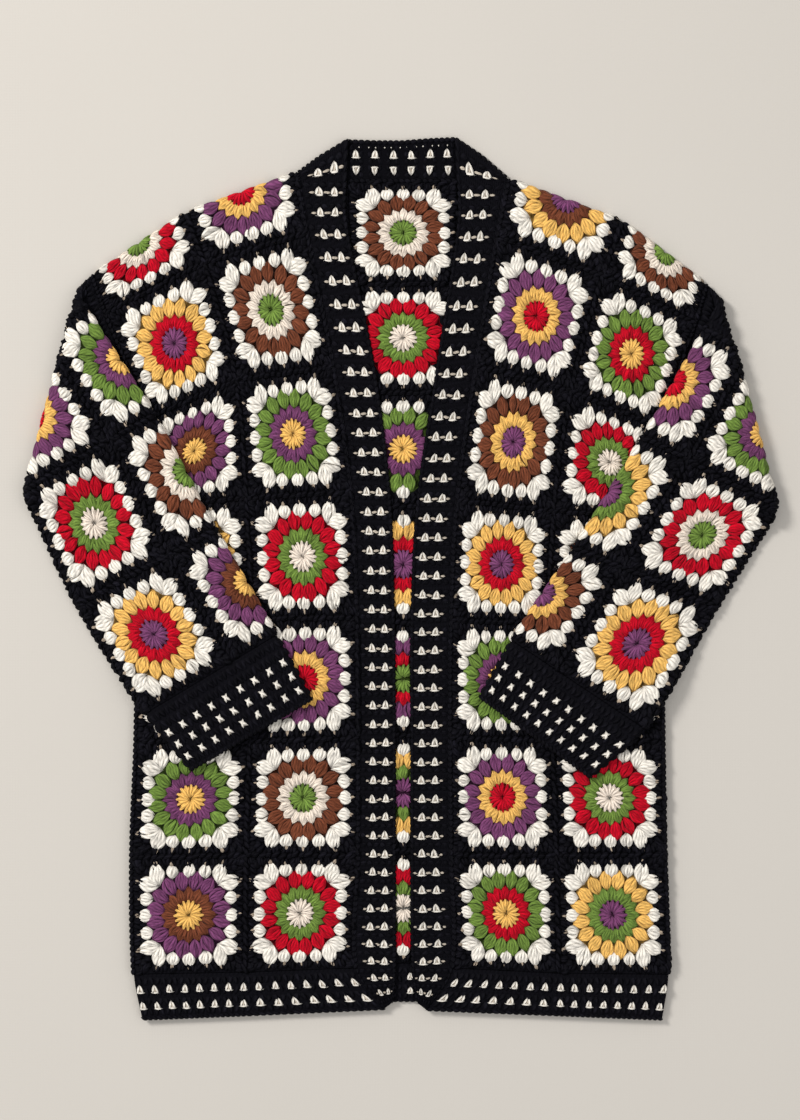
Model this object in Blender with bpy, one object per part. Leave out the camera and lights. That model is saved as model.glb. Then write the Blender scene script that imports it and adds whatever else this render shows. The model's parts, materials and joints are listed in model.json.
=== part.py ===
"""A crocheted granny-square cardigan laid flat, front up, with both sleeves turned over onto it.

The body is made of panels of squares: a back five squares wide, two fronts two squares wide whose
top row goes over the shoulder, and two sleeves, each a tube three squares round. Plain worked bands
finish the fronts, the neck, the hems and the cuffs.

Every panel starts as a flat slab in pattern space, measured in squares: first axis across, second
axis down (or along the sleeve), third axis through the cloth. The slab's outer side carries the
rounds of each square as low rings. The slab is cut along its folds and then laid in place, point by
point, so that folds keep both layers and the hollow between them.

+Z is up, +Y points to the neck and +X to the wearer's left. The origin lies under the middle of the
garment, on the surface that it rests on.
"""
import math

import bmesh
import bpy
from mathutils import Vector

MM = 0.001

SAME_PLACE = 0.001 * MM    # points nearer than this are one
ON_CUT = 0.02 * MM         # points nearer than this to a cut are on it
SAME_LINE = 1e-3           # the same in squares

# The cloth
WALL = 3.5 * MM            # worsted crochet, the plain wall
RELIEF = 1.5 * MM          # how far the rounds of a square stand out
LAYER_GAP = 0.4 * MM       # between layers that lie on each other
SEAM_GAP = 0.3 * MM        # between pieces sewn edge to edge
EDGE_ROUND = 0.9 * MM      # how far an edge is rounded
SQUARE = 108 * MM          # one square, as a scale for edges in pattern space

# Levels
BACK_LEVEL = 0.0
FRONT_LEVEL = WALL + LAYER_GAP
STACK = 2 * WALL + LAYER_GAP                 # two layers
SLEEVE_LIFT = STACK + RELIEF + 0.5 * MM      # under the turned sleeves
FOLD_RADIUS = WALL + LAYER_GAP / 2           # outside of a fold of one panel
FOLD_SHARE = 0.055                           # half of such a fold, in squares
FOLD_FADE = (FOLD_SHARE, 2 * FOLD_SHARE)     # beside a fold a square's rounds stay low
FOLD_CUTS = (-1.0, -0.35, 0.35, 1.0)         # where a fold bends, in shares of its half
CREASE_INNER = (SLEEVE_LIFT - STACK) / 2     # inside of the crease of a sleeve
CREASE_OUTER = CREASE_INNER + STACK
CREASE_LENGTH = math.pi * CREASE_OUTER       # cloth that the crease takes up
CREASE_STEPS = 5

# The rounds of a square from its middle out: share of the half width, share of RELIEF
MIDDLE_HEIGHT = 0.8
ROUNDS = (
    ("centre disc", 0.27, 0.5),
    ("petals", 0.42, 1.0),
    ("between petals and leaves", 0.54, 0.6),
    ("leaves", 0.70, 1.0),
)
CREAM_ROUND = (0.90, 0.35)                   # the square round: share of the half width, of RELIEF
SIDE_STEP = math.tan(math.radians(22.5))     # border points lie on the rays of the rounds

BAND_SHADOW = (10 * MM, 20 * MM)             # beside a front band the back's squares stay low

# Rows of squares down the body, in squares from the top of the back's middle column
FOLD_ROW = 0.5             # the shoulder fold, half way down row 0
FIRST_ROW = 1.0            # under row 0
HEM_ROW = 7.0              # under the last squares
END_ROW = 7.4              # lower end of the hem

# Fronts in mm: row, side seam, line between the two columns, seam of the band, open edge
RIGHT_FRONT_ROWS = (
    # row   side x, y     middle x, y   seam x, y     edge x, y
    (0.5, -294, 291, -204, 351, -98, 389, -50, 422),
    (1.0, -281, 255, -186, 303, -88, 332, -52, 353),
    (2.0, -243, 153, -156, 191, -63, 204, -24, 203),
    (3.0, -246, 69, -146, 78, -46, 84, -9, 81),
    (4.0, -250, -41, -141, -38, -40, -36, -5, -37),
    (5.0, -252, -155, -143, -155, -39, -152, -4, -152),
    (6.0, -256, -266, -146, -264, -39, -264, -4, -264),
    (7.0, -254, -378, -147, -376, -41, -372, -4, -372),
    (7.4, -246, -421, -147, -417, -14, -411, -6, -405),
)
LEFT_FRONT_ROWS = (
    # row   side x, y     middle x, y   seam x, y     edge x, y
    (0.5, 295, 282, 214, 343, 105, 383, 55, 422),
    (1.0, 284, 246, 195, 291, 94, 328, 58, 353),
    (2.0, 252, 144, 165, 181, 74, 205, 36, 199),
    (3.0, 251, 57, 148, 66, 56, 76, 18, 76),
    (4.0, 252, -44, 144, -42, 50, -39, 12, -41),
    (5.0, 253, -155, 147, -153, 49, -152, 12, -153),
    (6.0, 255, -264, 151, -264, 50, -264, 12, -264),
    (7.0, 258, -378, 153, -377, 51, -372, 13, -372),
    (7.4, 252, -421, 153, -417, 26, -412, 18, -406),
)

# Back in mm: row, then x and y of the six lines beside its five columns
BACK_COLUMNS = (-2.5, -1.5, -0.5, 0.5, 1.5, 2.5)
BACK_ROWS = (
    # row   right side    line 2        line 3      line 4     line 5      left side
    (0.0, -290, 360, -172, 381, -49, 381, 57, 381, 178, 378, 290, 355),
    (1.0, -281, 255, -172, 285, -49, 283, 57, 283, 178, 278, 284, 246),
    (2.0, -243, 153, -150, 179, -49, 179, 57, 179, 160, 172, 252, 144),
    (3.0, -246, 69, -150, 72, -49, 70, 57, 70, 156, 66, 251, 57),
    (4.0, -250, -41, -148, -40, -49, -41, 57, -41, 153, -42, 252, -44),
    (5.0, -252, -155, -148, -152, -49, -149, 57, -149, 153, -152, 253, -155),
    (6.0, -256, -266, -150, -262, -49, -260, 57, -260, 153, -262, 255, -264),
    (7.0, -254, -378, -152, -372, -49, -368, 57, -368, 153, -373, 258, -378),
    (7.4, -246, -421, -150, -413, -49, -404, 57, -404, 155, -412, 252, -421),
)

# Neck band in mm: station along the band, its outer edge, its seam with the panels
NECK_STATIONS = (
    # station outer x, y   seam x, y
    (0, -55, 300, -50, 300),
    (1, -72, 337, -50, 322),
    (2, -95, 389, -50, 344),
    (3, -76, 404, -50, 364),
    (4, -51, 420, -49, 382),
    (5, -23, 419, -23, 382),
    (6, 3, 419, 3, 382),
    (7, 30, 421, 30, 382),
    (8, 55, 422, 57, 382),
    (9, 79, 405, 58, 364),
    (10, 102, 384, 58, 344),
    (11, 80, 337, 58, 322),
    (12, 63, 300, 58, 300),
)

# Sleeves in mm, as if rolled out from the crease in the plane in which they lie on the body:
# row along the sleeve in squares, its upper fold, its underarm fold. The armhole row is worked out.
ARMHOLE_ROW = -0.3
CUFF_ROW = 3.0
CUFF_END = 3.55
UNDERARM_FOLD = 1.5        # squares round the sleeve from its upper fold
RIGHT_SLEEVE_ROWS = (
    # row   fold x, y    underarm x, y
    (0.0, -300, 261, -422, 180),
    (0.5, -267, 209, -393, 132),
    (1.0, -234, 157, -360, 84),
    (2.0, -175, 47, -308, -24),
    (3.0, -117, -53, -242, -128),
    (3.55, -83, -114, -199, -182),
)
LEFT_SLEEVE_ROWS = (
    # row   fold x, y    underarm x, y
    (0.0, 293, 240, 416, 163),
    (0.5, 263, 188, 389, 116),
    (1.0, 233, 136, 363, 69),
    (2.0, 168, 31, 304, -26),
    (3.0, 108, -58, 234, -142),
    (3.55, 77, -112, 183, -189),
)
# The outer creases, from the shoulder down, and the armholes, from the shoulder to the underarm
RIGHT_CREASE = ((-306, 283), (-361, 72))
LEFT_CREASE = ((306, 276), (362, 69))
RIGHT_ARMHOLE = ((-294, 291), (-243, 153))
LEFT_ARMHOLE = ((295, 282), (252, 144))
ARMHOLE_CLEARANCE = 1.8 * MM

# Beside the body a turned sleeve sinks to the surface: distance from the support, share of the drop
SINK_PROFILE = ((4 * MM, 0.0), (22 * MM, 0.7), (38 * MM, 1.0))
BODY_SIDE_X = {"right": -247 * MM, "left": 252 * MM}

BLACK = (0.012, 0.011, 0.012)
PANEL_COLOURS = {"back": (0.16, 0.05, 0.07), "front": (0.22, 0.04, 0.05), "sleeve": (0.10, 0.05, 0.14)}
ROUGHNESS = 0.9


# ---------------------------------------------------------------- tables and curves

def curve(knots, values, t):
    """A smooth curve through values at knots, read at t."""
    last = len(knots) - 1
    i = 0
    while i < last - 1 and t > knots[i + 1]:
        i += 1

    def slope(k):
        before, after = max(k - 1, 0), min(k + 1, last)
        return (values[after] - values[before]) / (knots[after] - knots[before])

    span = knots[i + 1] - knots[i]
    s = (t - knots[i]) / span
    a, b = values[i], values[i + 1]
    rise_a, rise_b = slope(i) * span, slope(i + 1) * span
    return (a * (1 + 2 * s) * (1 - s) ** 2 + rise_a * s * (1 - s) ** 2
            + b * s * s * (3 - 2 * s) + rise_b * s * s * (s - 1))


def table_point(rows, line, t):
    """The point, in metres, of one line of a table at t."""
    knots = [row[0] for row in rows]
    x = curve(knots, [row[1 + 2 * line] for row in rows], t)
    y = curve(knots, [row[2 + 2 * line] for row in rows], t)
    return Vector((x, y)) * MM


def straight_point(rows, line, t):
    """The point, in metres, of one line of a table at t, straight between its rows."""
    row = 0
    while row < len(rows) - 2 and t > rows[row + 1][0]:
        row += 1
    start, stop = rows[row], rows[row + 1]
    share = (t - start[0]) / (stop[0] - start[0])
    ends = [Vector(entry[1 + 2 * line:3 + 2 * line]) for entry in (start, stop)]
    return ends[0].lerp(ends[1], share) * MM


def between(value, low, high):
    """0 below low, 1 above high, straight between them."""
    return min(max((value - low) / (high - low), 0.0), 1.0)


# ---------------------------------------------------------------- slabs in pattern space

class Slab:
    """A slab of cells in pattern space. It runs (across, -down, through the cloth)."""

    def __init__(self):
        self.mesh = bmesh.new()
        self.cells = []
        self.outer = {}
        self.inner = {}

    def cell(self, across, down, width=1.0, length=1.0, raised=False):
        """Ask for one cell round its middle, with the rounds of a square where it is raised."""
        self.cells.append((across, down, width / 2, length / 2, raised))

    def point(self, store, spot, height):
        key = (round(spot[0], 4), round(spot[1], 4))
        if key not in store:
            store[key] = self.mesh.verts.new((spot[0], -spot[1], height))
        return store[key]

    def edge_points(self, cell, side, detailed):
        """One side of a cell, without its last corner, with points on the rays if detailed."""
        across, down, half_width, half_length, _ = cell
        turn = side * math.pi / 2
        spots = []
        for step in (-1.0, -SIDE_STEP, 0.0, SIDE_STEP) if detailed else (-1.0,):
            x = math.cos(turn) - step * math.sin(turn)
            y = math.sin(turn) + step * math.cos(turn)
            spots.append((across + x * half_width, down - y * half_length))
        return spots

    def side_middle(self, cell, side):
        turn = side * math.pi / 2
        return (round(cell[0] + math.cos(turn) * cell[2], 4), round(cell[1] - math.sin(turn) * cell[3], 4))

    def fan(self, cell, store, border, height, crown_height, flip):
        crown = self.mesh.verts.new((cell[0], -cell[1], crown_height))
        ring = [self.point(store, spot, height) for spot in border]
        for k, vertex in enumerate(ring):
            after = ring[(k + 1) % len(ring)]
            self.mesh.faces.new((crown, after, vertex) if flip else (crown, vertex, after))

    def square(self, cell, border):
        """The raised rounds of a square."""
        across, down, half_width, half_length, _ = cell
        rings = []
        for _, share, rise in ROUNDS:
            angles = [math.radians(22.5 * (k - 2)) for k in range(16)]
            rings.append([self.mesh.verts.new((across + math.cos(angle) * share * half_width,
                                               -down + math.sin(angle) * share * half_length,
                                               WALL + RELIEF * rise)) for angle in angles])
        share, rise = CREAM_ROUND
        rings.append([self.mesh.verts.new((across + (x - across) * share, -(down + (y - down) * share),
                                           WALL + RELIEF * rise)) for x, y in border])
        rings.append([self.point(self.outer, spot, WALL) for spot in border])
        crown = self.mesh.verts.new((across, -down, WALL + RELIEF * MIDDLE_HEIGHT))
        for k in range(16):
            self.mesh.faces.new((crown, rings[0][k], rings[0][(k + 1) % 16]))
            for ring, wider in zip(rings, rings[1:]):
                self.mesh.faces.new((ring[k], wider[k], wider[(k + 1) % 16], ring[(k + 1) % 16]))

    def close(self, open_lines=()):
        """Make the cells, then round off and close the free edges, but not on the open lines."""
        owners = {}
        for cell in self.cells:
            for side in range(4):
                owners.setdefault(self.side_middle(cell, side), []).append(cell)
        free = []
        for cell in self.cells:
            outer_border, inner_border = [], []
            for side in range(4):
                middle = self.side_middle(cell, side)
                at_edge = len(owners[middle]) == 1
                free_side = at_edge and not any(abs(middle[0] - line) < SAME_LINE for line in open_lines)
                by_square = any(owner[4] for owner in owners[middle])
                outer_border += self.edge_points(cell, side, at_edge or by_square)
                inner_border += self.edge_points(cell, side, free_side)
                if free_side:
                    run = self.edge_points(cell, side, True)
                    run += self.edge_points(cell, (side + 1) % 4, False)
                    free += list(zip(run, run[1:]))
            self.fan(cell, self.inner, inner_border, 0.0, 0.0, flip=True)
            if cell[4]:
                self.square(cell, outer_border)
            else:
                self.fan(cell, self.outer, outer_border, WALL, WALL, flip=False)
        self.round_edges([tuple((round(x, 4), round(y, 4)) for x, y in segment) for segment in free])
        bmesh.ops.triangulate(self.mesh, faces=self.mesh.faces)

    def round_edges(self, free):
        """Close the free edges with a rim whose middle stands out."""
        outward = {}
        for a, b in free:
            run = Vector((b[0] - a[0], a[1] - b[1])).normalized()
            for end in (a, b):
                outward[end] = outward.get(end, Vector((0.0, 0.0))) + Vector((run.y, -run.x))
        rim = {}
        for spot, normal in outward.items():
            push = Vector([math.copysign(1.0, c) if abs(c) > 0.3 else 0.0 for c in normal])
            edge = Vector((spot[0], -spot[1]))
            rim[spot] = self.mesh.verts.new((*(edge - push * SEAM_GAP / 2 / SQUARE), WALL / 2))
            rounded = edge - push * (SEAM_GAP / 2 + EDGE_ROUND) / SQUARE
            self.outer[spot].co.xy = rounded
            self.inner[spot].co.xy = rounded
        for a, b in free:
            self.mesh.faces.new((self.outer[b], self.outer[a], rim[a], rim[b]))
            self.mesh.faces.new((rim[b], rim[a], self.inner[a], self.inner[b]))

    def cut(self, spot, normal):
        """Put an edge wherever the plane through the spot crosses the slab."""
        cut_mesh(self.mesh, (*spot, 0.0), (*normal, 0.0), SAME_LINE)


def cut_mesh(mesh, spot, normal, reach, chosen=None):
    """Cut a mesh, or only its chosen faces, along a plane, and keep both sides joined."""
    faces = [face for face in mesh.faces if chosen is None or chosen(face)]
    edges = {edge for face in faces for edge in face.edges}
    verts = {vertex for face in faces for vertex in face.verts}
    geometry = [*verts, *edges, *faces]
    bmesh.ops.bisect_plane(mesh, geom=geometry, dist=reach, plane_co=spot, plane_no=normal)
    bmesh.ops.triangulate(mesh, faces=[face for face in mesh.faces if len(face.verts) > 3])


def strip(columns, rows):
    """A plain slab of cells between the given lines across and the given rows."""
    slab = Slab()
    for left, right in zip(columns, columns[1:]):
        for top, bottom in zip(rows, rows[1:]):
            slab.cell((left + right) / 2, (top + bottom) / 2, right - left, bottom - top)
    return slab


def even(start, stop, count):
    return [start + (stop - start) * k / count for k in range(count + 1)]


def lay(slab, place):
    """Move every point of a slab from pattern space into the garment."""
    for vertex in slab.mesh.verts:
        across, down, height = vertex.co.x, -vertex.co.y, vertex.co.z
        vertex.co = place(across, down, min(height, WALL), max(height - WALL, 0.0))


# ---------------------------------------------------------------- the body

def front_line(rows, line, down):
    """A line down a front: straight over the shoulder, a curve below it."""
    return (straight_point if down < FIRST_ROW else table_point)(rows, line, down)


def front_point(rows, across, down):
    """Plan of a front: across is 2.5 at the side and 0.5 at the band's seam."""
    line = 0 if abs(across) > 1.5 else 1
    share = 2.5 - line - abs(across)
    return front_line(rows, line, down).lerp(front_line(rows, line + 1, down), share)


def back_point(across, down):
    column = min(max(int(across + 2.5), 0), 4)
    share = across - BACK_COLUMNS[column]
    return table_point(BACK_ROWS, column, down).lerp(table_point(BACK_ROWS, column + 1, down), share)


def fold_round(share, radius):
    """Reach beyond the fold's axis and height above it, for a share from -1 (under) to 1 (over)."""
    angle = share * math.pi / 2
    return radius * math.cos(angle), radius * math.sin(angle)


def front_place(rows):
    """Lays a front, with the upper half of its top row turned under at the shoulder."""
    def place(across, down, height, relief):
        if down >= FIRST_ROW:
            plan = front_point(rows, across, down)
            return (*plan, FRONT_LEVEL + height + relief)
        fold = front_point(rows, across, FOLD_ROW)
        over = front_point(rows, across, FIRST_ROW)
        under = back_point(across, FIRST_ROW)
        inward = (over - fold).normalized()
        axis = fold + inward * FOLD_RADIUS
        share = (down - FOLD_ROW) / FOLD_SHARE
        visible = between(down - FOLD_ROW, *FOLD_FADE)
        radius = LAYER_GAP / 2 + height + relief * visible
        if abs(share) < 1:
            reach, rise = fold_round(share, radius)
            plan = axis - inward * reach
        else:
            rise = math.copysign(radius, share)
            run = (abs(down - FOLD_ROW) - FOLD_SHARE) / (FOLD_ROW - FOLD_SHARE)
            plan = axis.lerp(over if share > 0 else under, run)
        return (*plan, FOLD_RADIUS + rise)
    return place


def front_slab(sign, hidden):
    """Two columns of seven squares. The hidden squares under a sleeve stay plain."""
    slab = Slab()
    for column in (1.0, 2.0):
        for row in range(7):
            raised = (column, row) not in hidden
            slab.cell(sign * column, row + 0.5, raised=raised)
    slab.close()
    for share in FOLD_CUTS:
        slab.cut((0, -(FOLD_ROW + share * FOLD_SHARE)), (0, 1))
    return slab


def visible_between_bands(point):
    """1 where the back shows between the front bands, 0 under them."""
    low, high = FOLD_ROW, END_ROW
    while high - low > 0.01:
        middle = (low + high) / 2
        if front_line(RIGHT_FRONT_ROWS, 3, middle).y > point.y:
            low = middle
        else:
            high = middle
    left = front_line(RIGHT_FRONT_ROWS, 3, low).x
    right = front_line(LEFT_FRONT_ROWS, 3, low).x
    return between(min(point.x - left, right - point.x), *BAND_SHADOW)


def back_slab():
    """Five columns of six squares, and a seventh square at the top of the middle one."""
    slab = Slab()
    for column in range(-2, 3):
        for row in range(1, 7):
            slab.cell(column, row + 0.5, raised=(column == 0 and row < 3))
    slab.cell(0, 0.5, raised=True)
    slab.close()
    return slab


def back_place(across, down, height, relief):
    plan = back_point(across, down)
    shown = visible_between_bands(plan) if relief > 0 else 0.0
    return (*plan, BACK_LEVEL + height + relief * shown)


def band_place(rows):
    """Lays a front band: across runs from 0 at its seam to 1 at its open edge."""
    def place(across, down, height, relief):
        plan = front_line(rows, 2, down).lerp(front_line(rows, 3, down), across)
        return (*plan, FRONT_LEVEL + height)
    return place


def neck_place(across, down, height, relief):
    plan = straight_point(NECK_STATIONS, 1, down).lerp(straight_point(NECK_STATIONS, 0, down), across)
    return (*plan, BACK_LEVEL + height)


def front_hem_place(rows):
    def place(across, down, height, relief):
        return (*front_point(rows, across, down), FRONT_LEVEL + height)
    return place


def back_hem_place(across, down, height, relief):
    return (*back_point(across, down), BACK_LEVEL + height)


# ---------------------------------------------------------------- the sleeves

class Sleeve:
    """A tube three squares round, flattened, and turned over at a crease onto the body."""

    def __init__(self, side, rows, crease, armhole):
        self.side = side
        top, bottom = (Vector(point) * MM for point in crease)
        self.along_crease = (bottom - top).normalized()
        self.inward = Vector((-self.along_crease.y, self.along_crease.x))
        if self.inward.x * top.x > 0:
            self.inward.negate()
        self.axis = top + self.inward * CREASE_OUTER
        self.underarm = Vector(armhole[1]) * MM
        first = [ARMHOLE_ROW]
        for point in armhole:
            spot = self.rolled_out(Vector(point) * MM - self.inward * ARMHOLE_CLEARANCE)
            first += [spot.x / MM, spot.y / MM]
        self.rows = (tuple(first),) + rows
        end = self.rolled_back(table_point(self.rows, 1, 1.0))
        self.wedge_run = (end - self.underarm).normalized()
        self.wedge_normal = Vector((-self.wedge_run.y, self.wedge_run.x))
        if self.wedge_normal.y > 0:
            self.wedge_normal.negate()
        self.outward = Vector((math.copysign(1.0, top.x), 0.0))
        self.body_side = Vector((BODY_SIDE_X[side], 0.0))

    def beyond(self, plan):
        """How far a rolled-out point lies beyond the axis of the crease."""
        return -(plan - self.axis).dot(self.inward)

    def rolled_out(self, plan):
        """Where a point of the lower, unturned part lies when the sleeve is rolled out."""
        depth = (plan - self.axis).dot(self.inward)
        return plan - self.inward * (2 * depth + CREASE_LENGTH)

    def rolled_back(self, plan):
        depth = self.beyond(plan) - CREASE_LENGTH
        return plan + self.inward * (self.beyond(plan) + depth)

    def flatten(self, across, down, height, relief):
        """The flattened tube, rolled out: plan and height above its lower side."""
        fold = table_point(self.rows, 0, down)
        underarm = table_point(self.rows, 1, down)
        width = (underarm - fold).length
        run = (underarm - fold).normalized()
        upper = 0 <= across <= UNDERARM_FOLD
        way = across if upper else (-across if across < 0 else 2 * UNDERARM_FOLD - across)
        shown = between(way, *FOLD_FADE) * between(UNDERARM_FOLD - way, *FOLD_FADE)
        radius = LAYER_GAP / 2 + height + (relief * shown if upper else 0.0)
        sign = 1 if upper else -1
        if way < FOLD_SHARE:
            reach, rise = fold_round(way / FOLD_SHARE, radius)
            distance = FOLD_RADIUS - reach
        elif way > UNDERARM_FOLD - FOLD_SHARE:
            reach, rise = fold_round((UNDERARM_FOLD - way) / FOLD_SHARE, radius)
            distance = width - FOLD_RADIUS + reach
        else:
            rise = radius
            share = (way - FOLD_SHARE) / (UNDERARM_FOLD - 2 * FOLD_SHARE)
            distance = FOLD_RADIUS + share * (width - 2 * FOLD_RADIUS)
        plan = fold + run * distance
        return (*plan, FOLD_RADIUS + sign * rise)

    def support_distances(self, plan):
        """How far a point lies out from the body's side and out from the sleeve's lower part."""
        return ((plan - self.body_side).dot(self.outward),
                (plan - self.underarm).dot(self.wedge_normal))

    def sink(self, plan):
        """How far the turned sleeve lies lower than on the body."""
        distance = min(self.support_distances(plan))
        low, start = SINK_PROFILE[0]
        if distance <= low:
            return 0.0
        for (near, less), (far, more) in zip(SINK_PROFILE, SINK_PROFILE[1:]):
            if distance <= far:
                return SLEEVE_LIFT * (less + (more - less) * (distance - near) / (far - near))
        return SLEEVE_LIFT

    def turn_over(self, point):
        """From the rolled-out tube to its place on the body, round the crease."""
        plan = Vector((point.x, point.y))
        beyond = self.beyond(plan)
        if beyond <= 0:
            return (*plan, SLEEVE_LIFT + point.z - self.sink(plan))
        left_of_crease = between(CREASE_LENGTH - beyond, 0.0, CREASE_LENGTH)
        radius = CREASE_INNER + min(point.z, STACK + RELIEF * left_of_crease)
        centre = SLEEVE_LIFT - CREASE_INNER
        foot = plan + self.inward * beyond
        if beyond < CREASE_LENGTH:
            step = CREASE_LENGTH / CREASE_STEPS
            whole = min(int(beyond / step), CREASE_STEPS - 1)
            share = beyond / step - whole
            ends = [math.pi * k / CREASE_STEPS for k in (whole, whole + 1)]
            reach = sum(math.sin(a) * s for a, s in zip(ends, (1 - share, share))) * radius
            rise = sum(math.cos(a) * s for a, s in zip(ends, (1 - share, share))) * radius
            return (*(foot - self.inward * reach), centre + rise)
        return (*(foot + self.inward * (beyond - CREASE_LENGTH)), centre - radius)

    def lay(self, slab):
        """Fold the slab to a tube, flatten it, cut it along creases and slopes, and turn it over."""
        mesh = slab.mesh
        for middle in (0.0, UNDERARM_FOLD):
            for share in FOLD_CUTS:
                slab.cut((middle + share * FOLD_SHARE, 0), (1, 0))
        lay(slab, self.flatten)
        bmesh.ops.remove_doubles(mesh, verts=mesh.verts, dist=SAME_PLACE)
        for k in range(CREASE_STEPS + 1):
            spot = self.axis - self.inward * CREASE_LENGTH * k / CREASE_STEPS
            cut_mesh(mesh, (*spot, 0), (*self.inward, 0), ON_CUT)
        for distance, _ in SINK_PROFILE:
            cut_mesh(mesh, (*(self.body_side + self.outward * distance), 0),
                     (*self.outward, 0), ON_CUT, self.unsupported)
            cut_mesh(mesh, (*(self.underarm + self.wedge_normal * distance), 0),
                     (*self.wedge_normal, 0), ON_CUT, self.unsupported)
        cut_mesh(mesh, (*self.corner(), 0), (*(self.outward - self.wedge_normal), 0),
                 ON_CUT, self.unsupported)
        for vertex in mesh.verts:
            vertex.co = self.turn_over(vertex.co)

    def unsupported(self, face):
        """Whether a face of the rolled-out tube reaches past the edge of what lies under it."""
        spots = [vertex.co.xy for vertex in face.verts]
        return (min(self.beyond(spot) for spot in spots) < 0
                and all(max(pair) > 0 for pair in zip(*map(self.support_distances, spots))))

    def corner(self):
        """Where the body's side meets the edge of the sleeve's lower part."""
        gap = (self.body_side.x - self.underarm.x) / self.wedge_run.x
        return self.underarm + self.wedge_run * gap


def sleeve_slab():
    slab = Slab()
    for column in range(3):
        slab.cell(column, ARMHOLE_ROW / 2, length=-ARMHOLE_ROW)
        for row in range(3):
            slab.cell(column, row + 0.5, raised=column < 2)
    slab.close(open_lines=(-0.5, 2.5))
    return slab


def cuff_slab():
    slab = strip(even(-0.5, 2.5, 6), (CUFF_ROW, CUFF_END))
    slab.close(open_lines=(-0.5, 2.5))
    return slab


# ---------------------------------------------------------------- objects

def wool(name, colour):
    material = bpy.data.materials.new(name)
    material.use_nodes = True
    shader = material.node_tree.nodes["Principled BSDF"]
    shader.inputs["Base Color"].default_value = (*colour, 1.0)
    shader.inputs["Roughness"].default_value = ROUGHNESS
    material.diffuse_color = (*colour, 1.0)
    return material


def add_object(name, mesh, colour):
    bmesh.ops.recalc_face_normals(mesh, faces=mesh.faces)
    if mesh.calc_volume(signed=True) < 0:
        bmesh.ops.reverse_faces(mesh, faces=mesh.faces)
    data = bpy.data.meshes.new(name)
    mesh.to_mesh(data)
    mesh.free()
    data.materials.append(wool(name + "_wool", colour))
    piece = bpy.data.objects.new(name, data)
    bpy.context.collection.objects.link(piece)
    return piece


def add_laid(name, slab, place, colour):
    lay(slab, place)
    return add_object(name, slab.mesh, colour)


def closed(slab):
    slab.close()
    return slab


def build_half(side, sign, rows, sleeve_rows, crease, armhole, hidden):
    add_laid(side + "_front", front_slab(sign, hidden), front_place(rows), PANEL_COLOURS["front"])
    band = closed(strip((0, 0.5, 1), [FOLD_ROW, *even(FIRST_ROW, HEM_ROW, 6), END_ROW]))
    add_laid(side + "_front_band", band, band_place(rows), BLACK)
    hem = closed(strip([sign * c for c in (2.5, 2.0, 1.5, 1.0, 0.5)][::int(-sign)], (HEM_ROW, END_ROW)))
    add_laid(side + "_front_hem", hem, front_hem_place(rows), BLACK)
    sleeve = Sleeve(side, sleeve_rows, crease, armhole)
    tube = sleeve_slab()
    sleeve.lay(tube)
    add_object(side + "_sleeve", tube.mesh, PANEL_COLOURS["sleeve"])
    cuff = cuff_slab()
    sleeve.lay(cuff)
    add_object(side + "_cuff", cuff.mesh, BLACK)


def main():
    for old in list(bpy.data.objects):
        bpy.data.objects.remove(old)
    add_laid("back", back_slab(), back_place, PANEL_COLOURS["back"])
    add_laid("back_hem", closed(strip(even(-2.5, 2.5, 5), (HEM_ROW, END_ROW))), back_hem_place, BLACK)
    add_laid("neck_band", closed(strip((0, 1), even(0, 12, 12))), neck_place, BLACK)
    build_half("right", -1, RIGHT_FRONT_ROWS, RIGHT_SLEEVE_ROWS, RIGHT_CREASE, RIGHT_ARMHOLE,
               hidden={(2.0, 3), (2.0, 4)})
    build_half("left", 1, LEFT_FRONT_ROWS, LEFT_SLEEVE_ROWS, LEFT_CREASE, LEFT_ARMHOLE,
               hidden={(2.0, 3), (2.0, 4)})


main()
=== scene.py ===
# %% [markdown]
# # A crocheted cardigan, laid flat
#
# This lesson dresses the plain solids of a cardigan made of crocheted squares. The solids say where
# each panel lies. Here every panel gets its ground of black yarn, the rounds of its squares as real
# stitches, the small cream stitches of its bands, and wool that looks like wool. The garment lies on
# a pale floor, seen from straight above, with both sleeves turned over onto the fronts.

# %% The frame
import json
import math

import bpy
import numpy as np
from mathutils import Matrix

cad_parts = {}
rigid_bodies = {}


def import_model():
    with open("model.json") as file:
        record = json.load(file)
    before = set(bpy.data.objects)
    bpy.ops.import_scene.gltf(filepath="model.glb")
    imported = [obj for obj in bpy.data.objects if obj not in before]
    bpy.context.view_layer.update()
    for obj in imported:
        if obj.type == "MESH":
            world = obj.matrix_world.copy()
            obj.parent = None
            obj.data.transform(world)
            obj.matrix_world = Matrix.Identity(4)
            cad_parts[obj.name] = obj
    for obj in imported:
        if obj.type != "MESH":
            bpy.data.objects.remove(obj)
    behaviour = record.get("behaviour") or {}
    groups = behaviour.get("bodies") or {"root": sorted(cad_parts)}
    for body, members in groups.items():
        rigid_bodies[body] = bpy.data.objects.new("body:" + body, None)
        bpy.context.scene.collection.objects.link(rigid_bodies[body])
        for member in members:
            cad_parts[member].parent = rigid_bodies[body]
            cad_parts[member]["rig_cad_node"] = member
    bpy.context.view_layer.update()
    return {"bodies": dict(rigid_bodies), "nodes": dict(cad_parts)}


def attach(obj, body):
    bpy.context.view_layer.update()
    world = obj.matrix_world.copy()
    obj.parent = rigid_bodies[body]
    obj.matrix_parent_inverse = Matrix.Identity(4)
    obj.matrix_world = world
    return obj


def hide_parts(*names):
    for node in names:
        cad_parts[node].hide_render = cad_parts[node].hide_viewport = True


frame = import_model()
BODY = next(iter(frame["bodies"]))
MM = 0.001
print("nodes:", sorted(frame["nodes"]))

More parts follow.
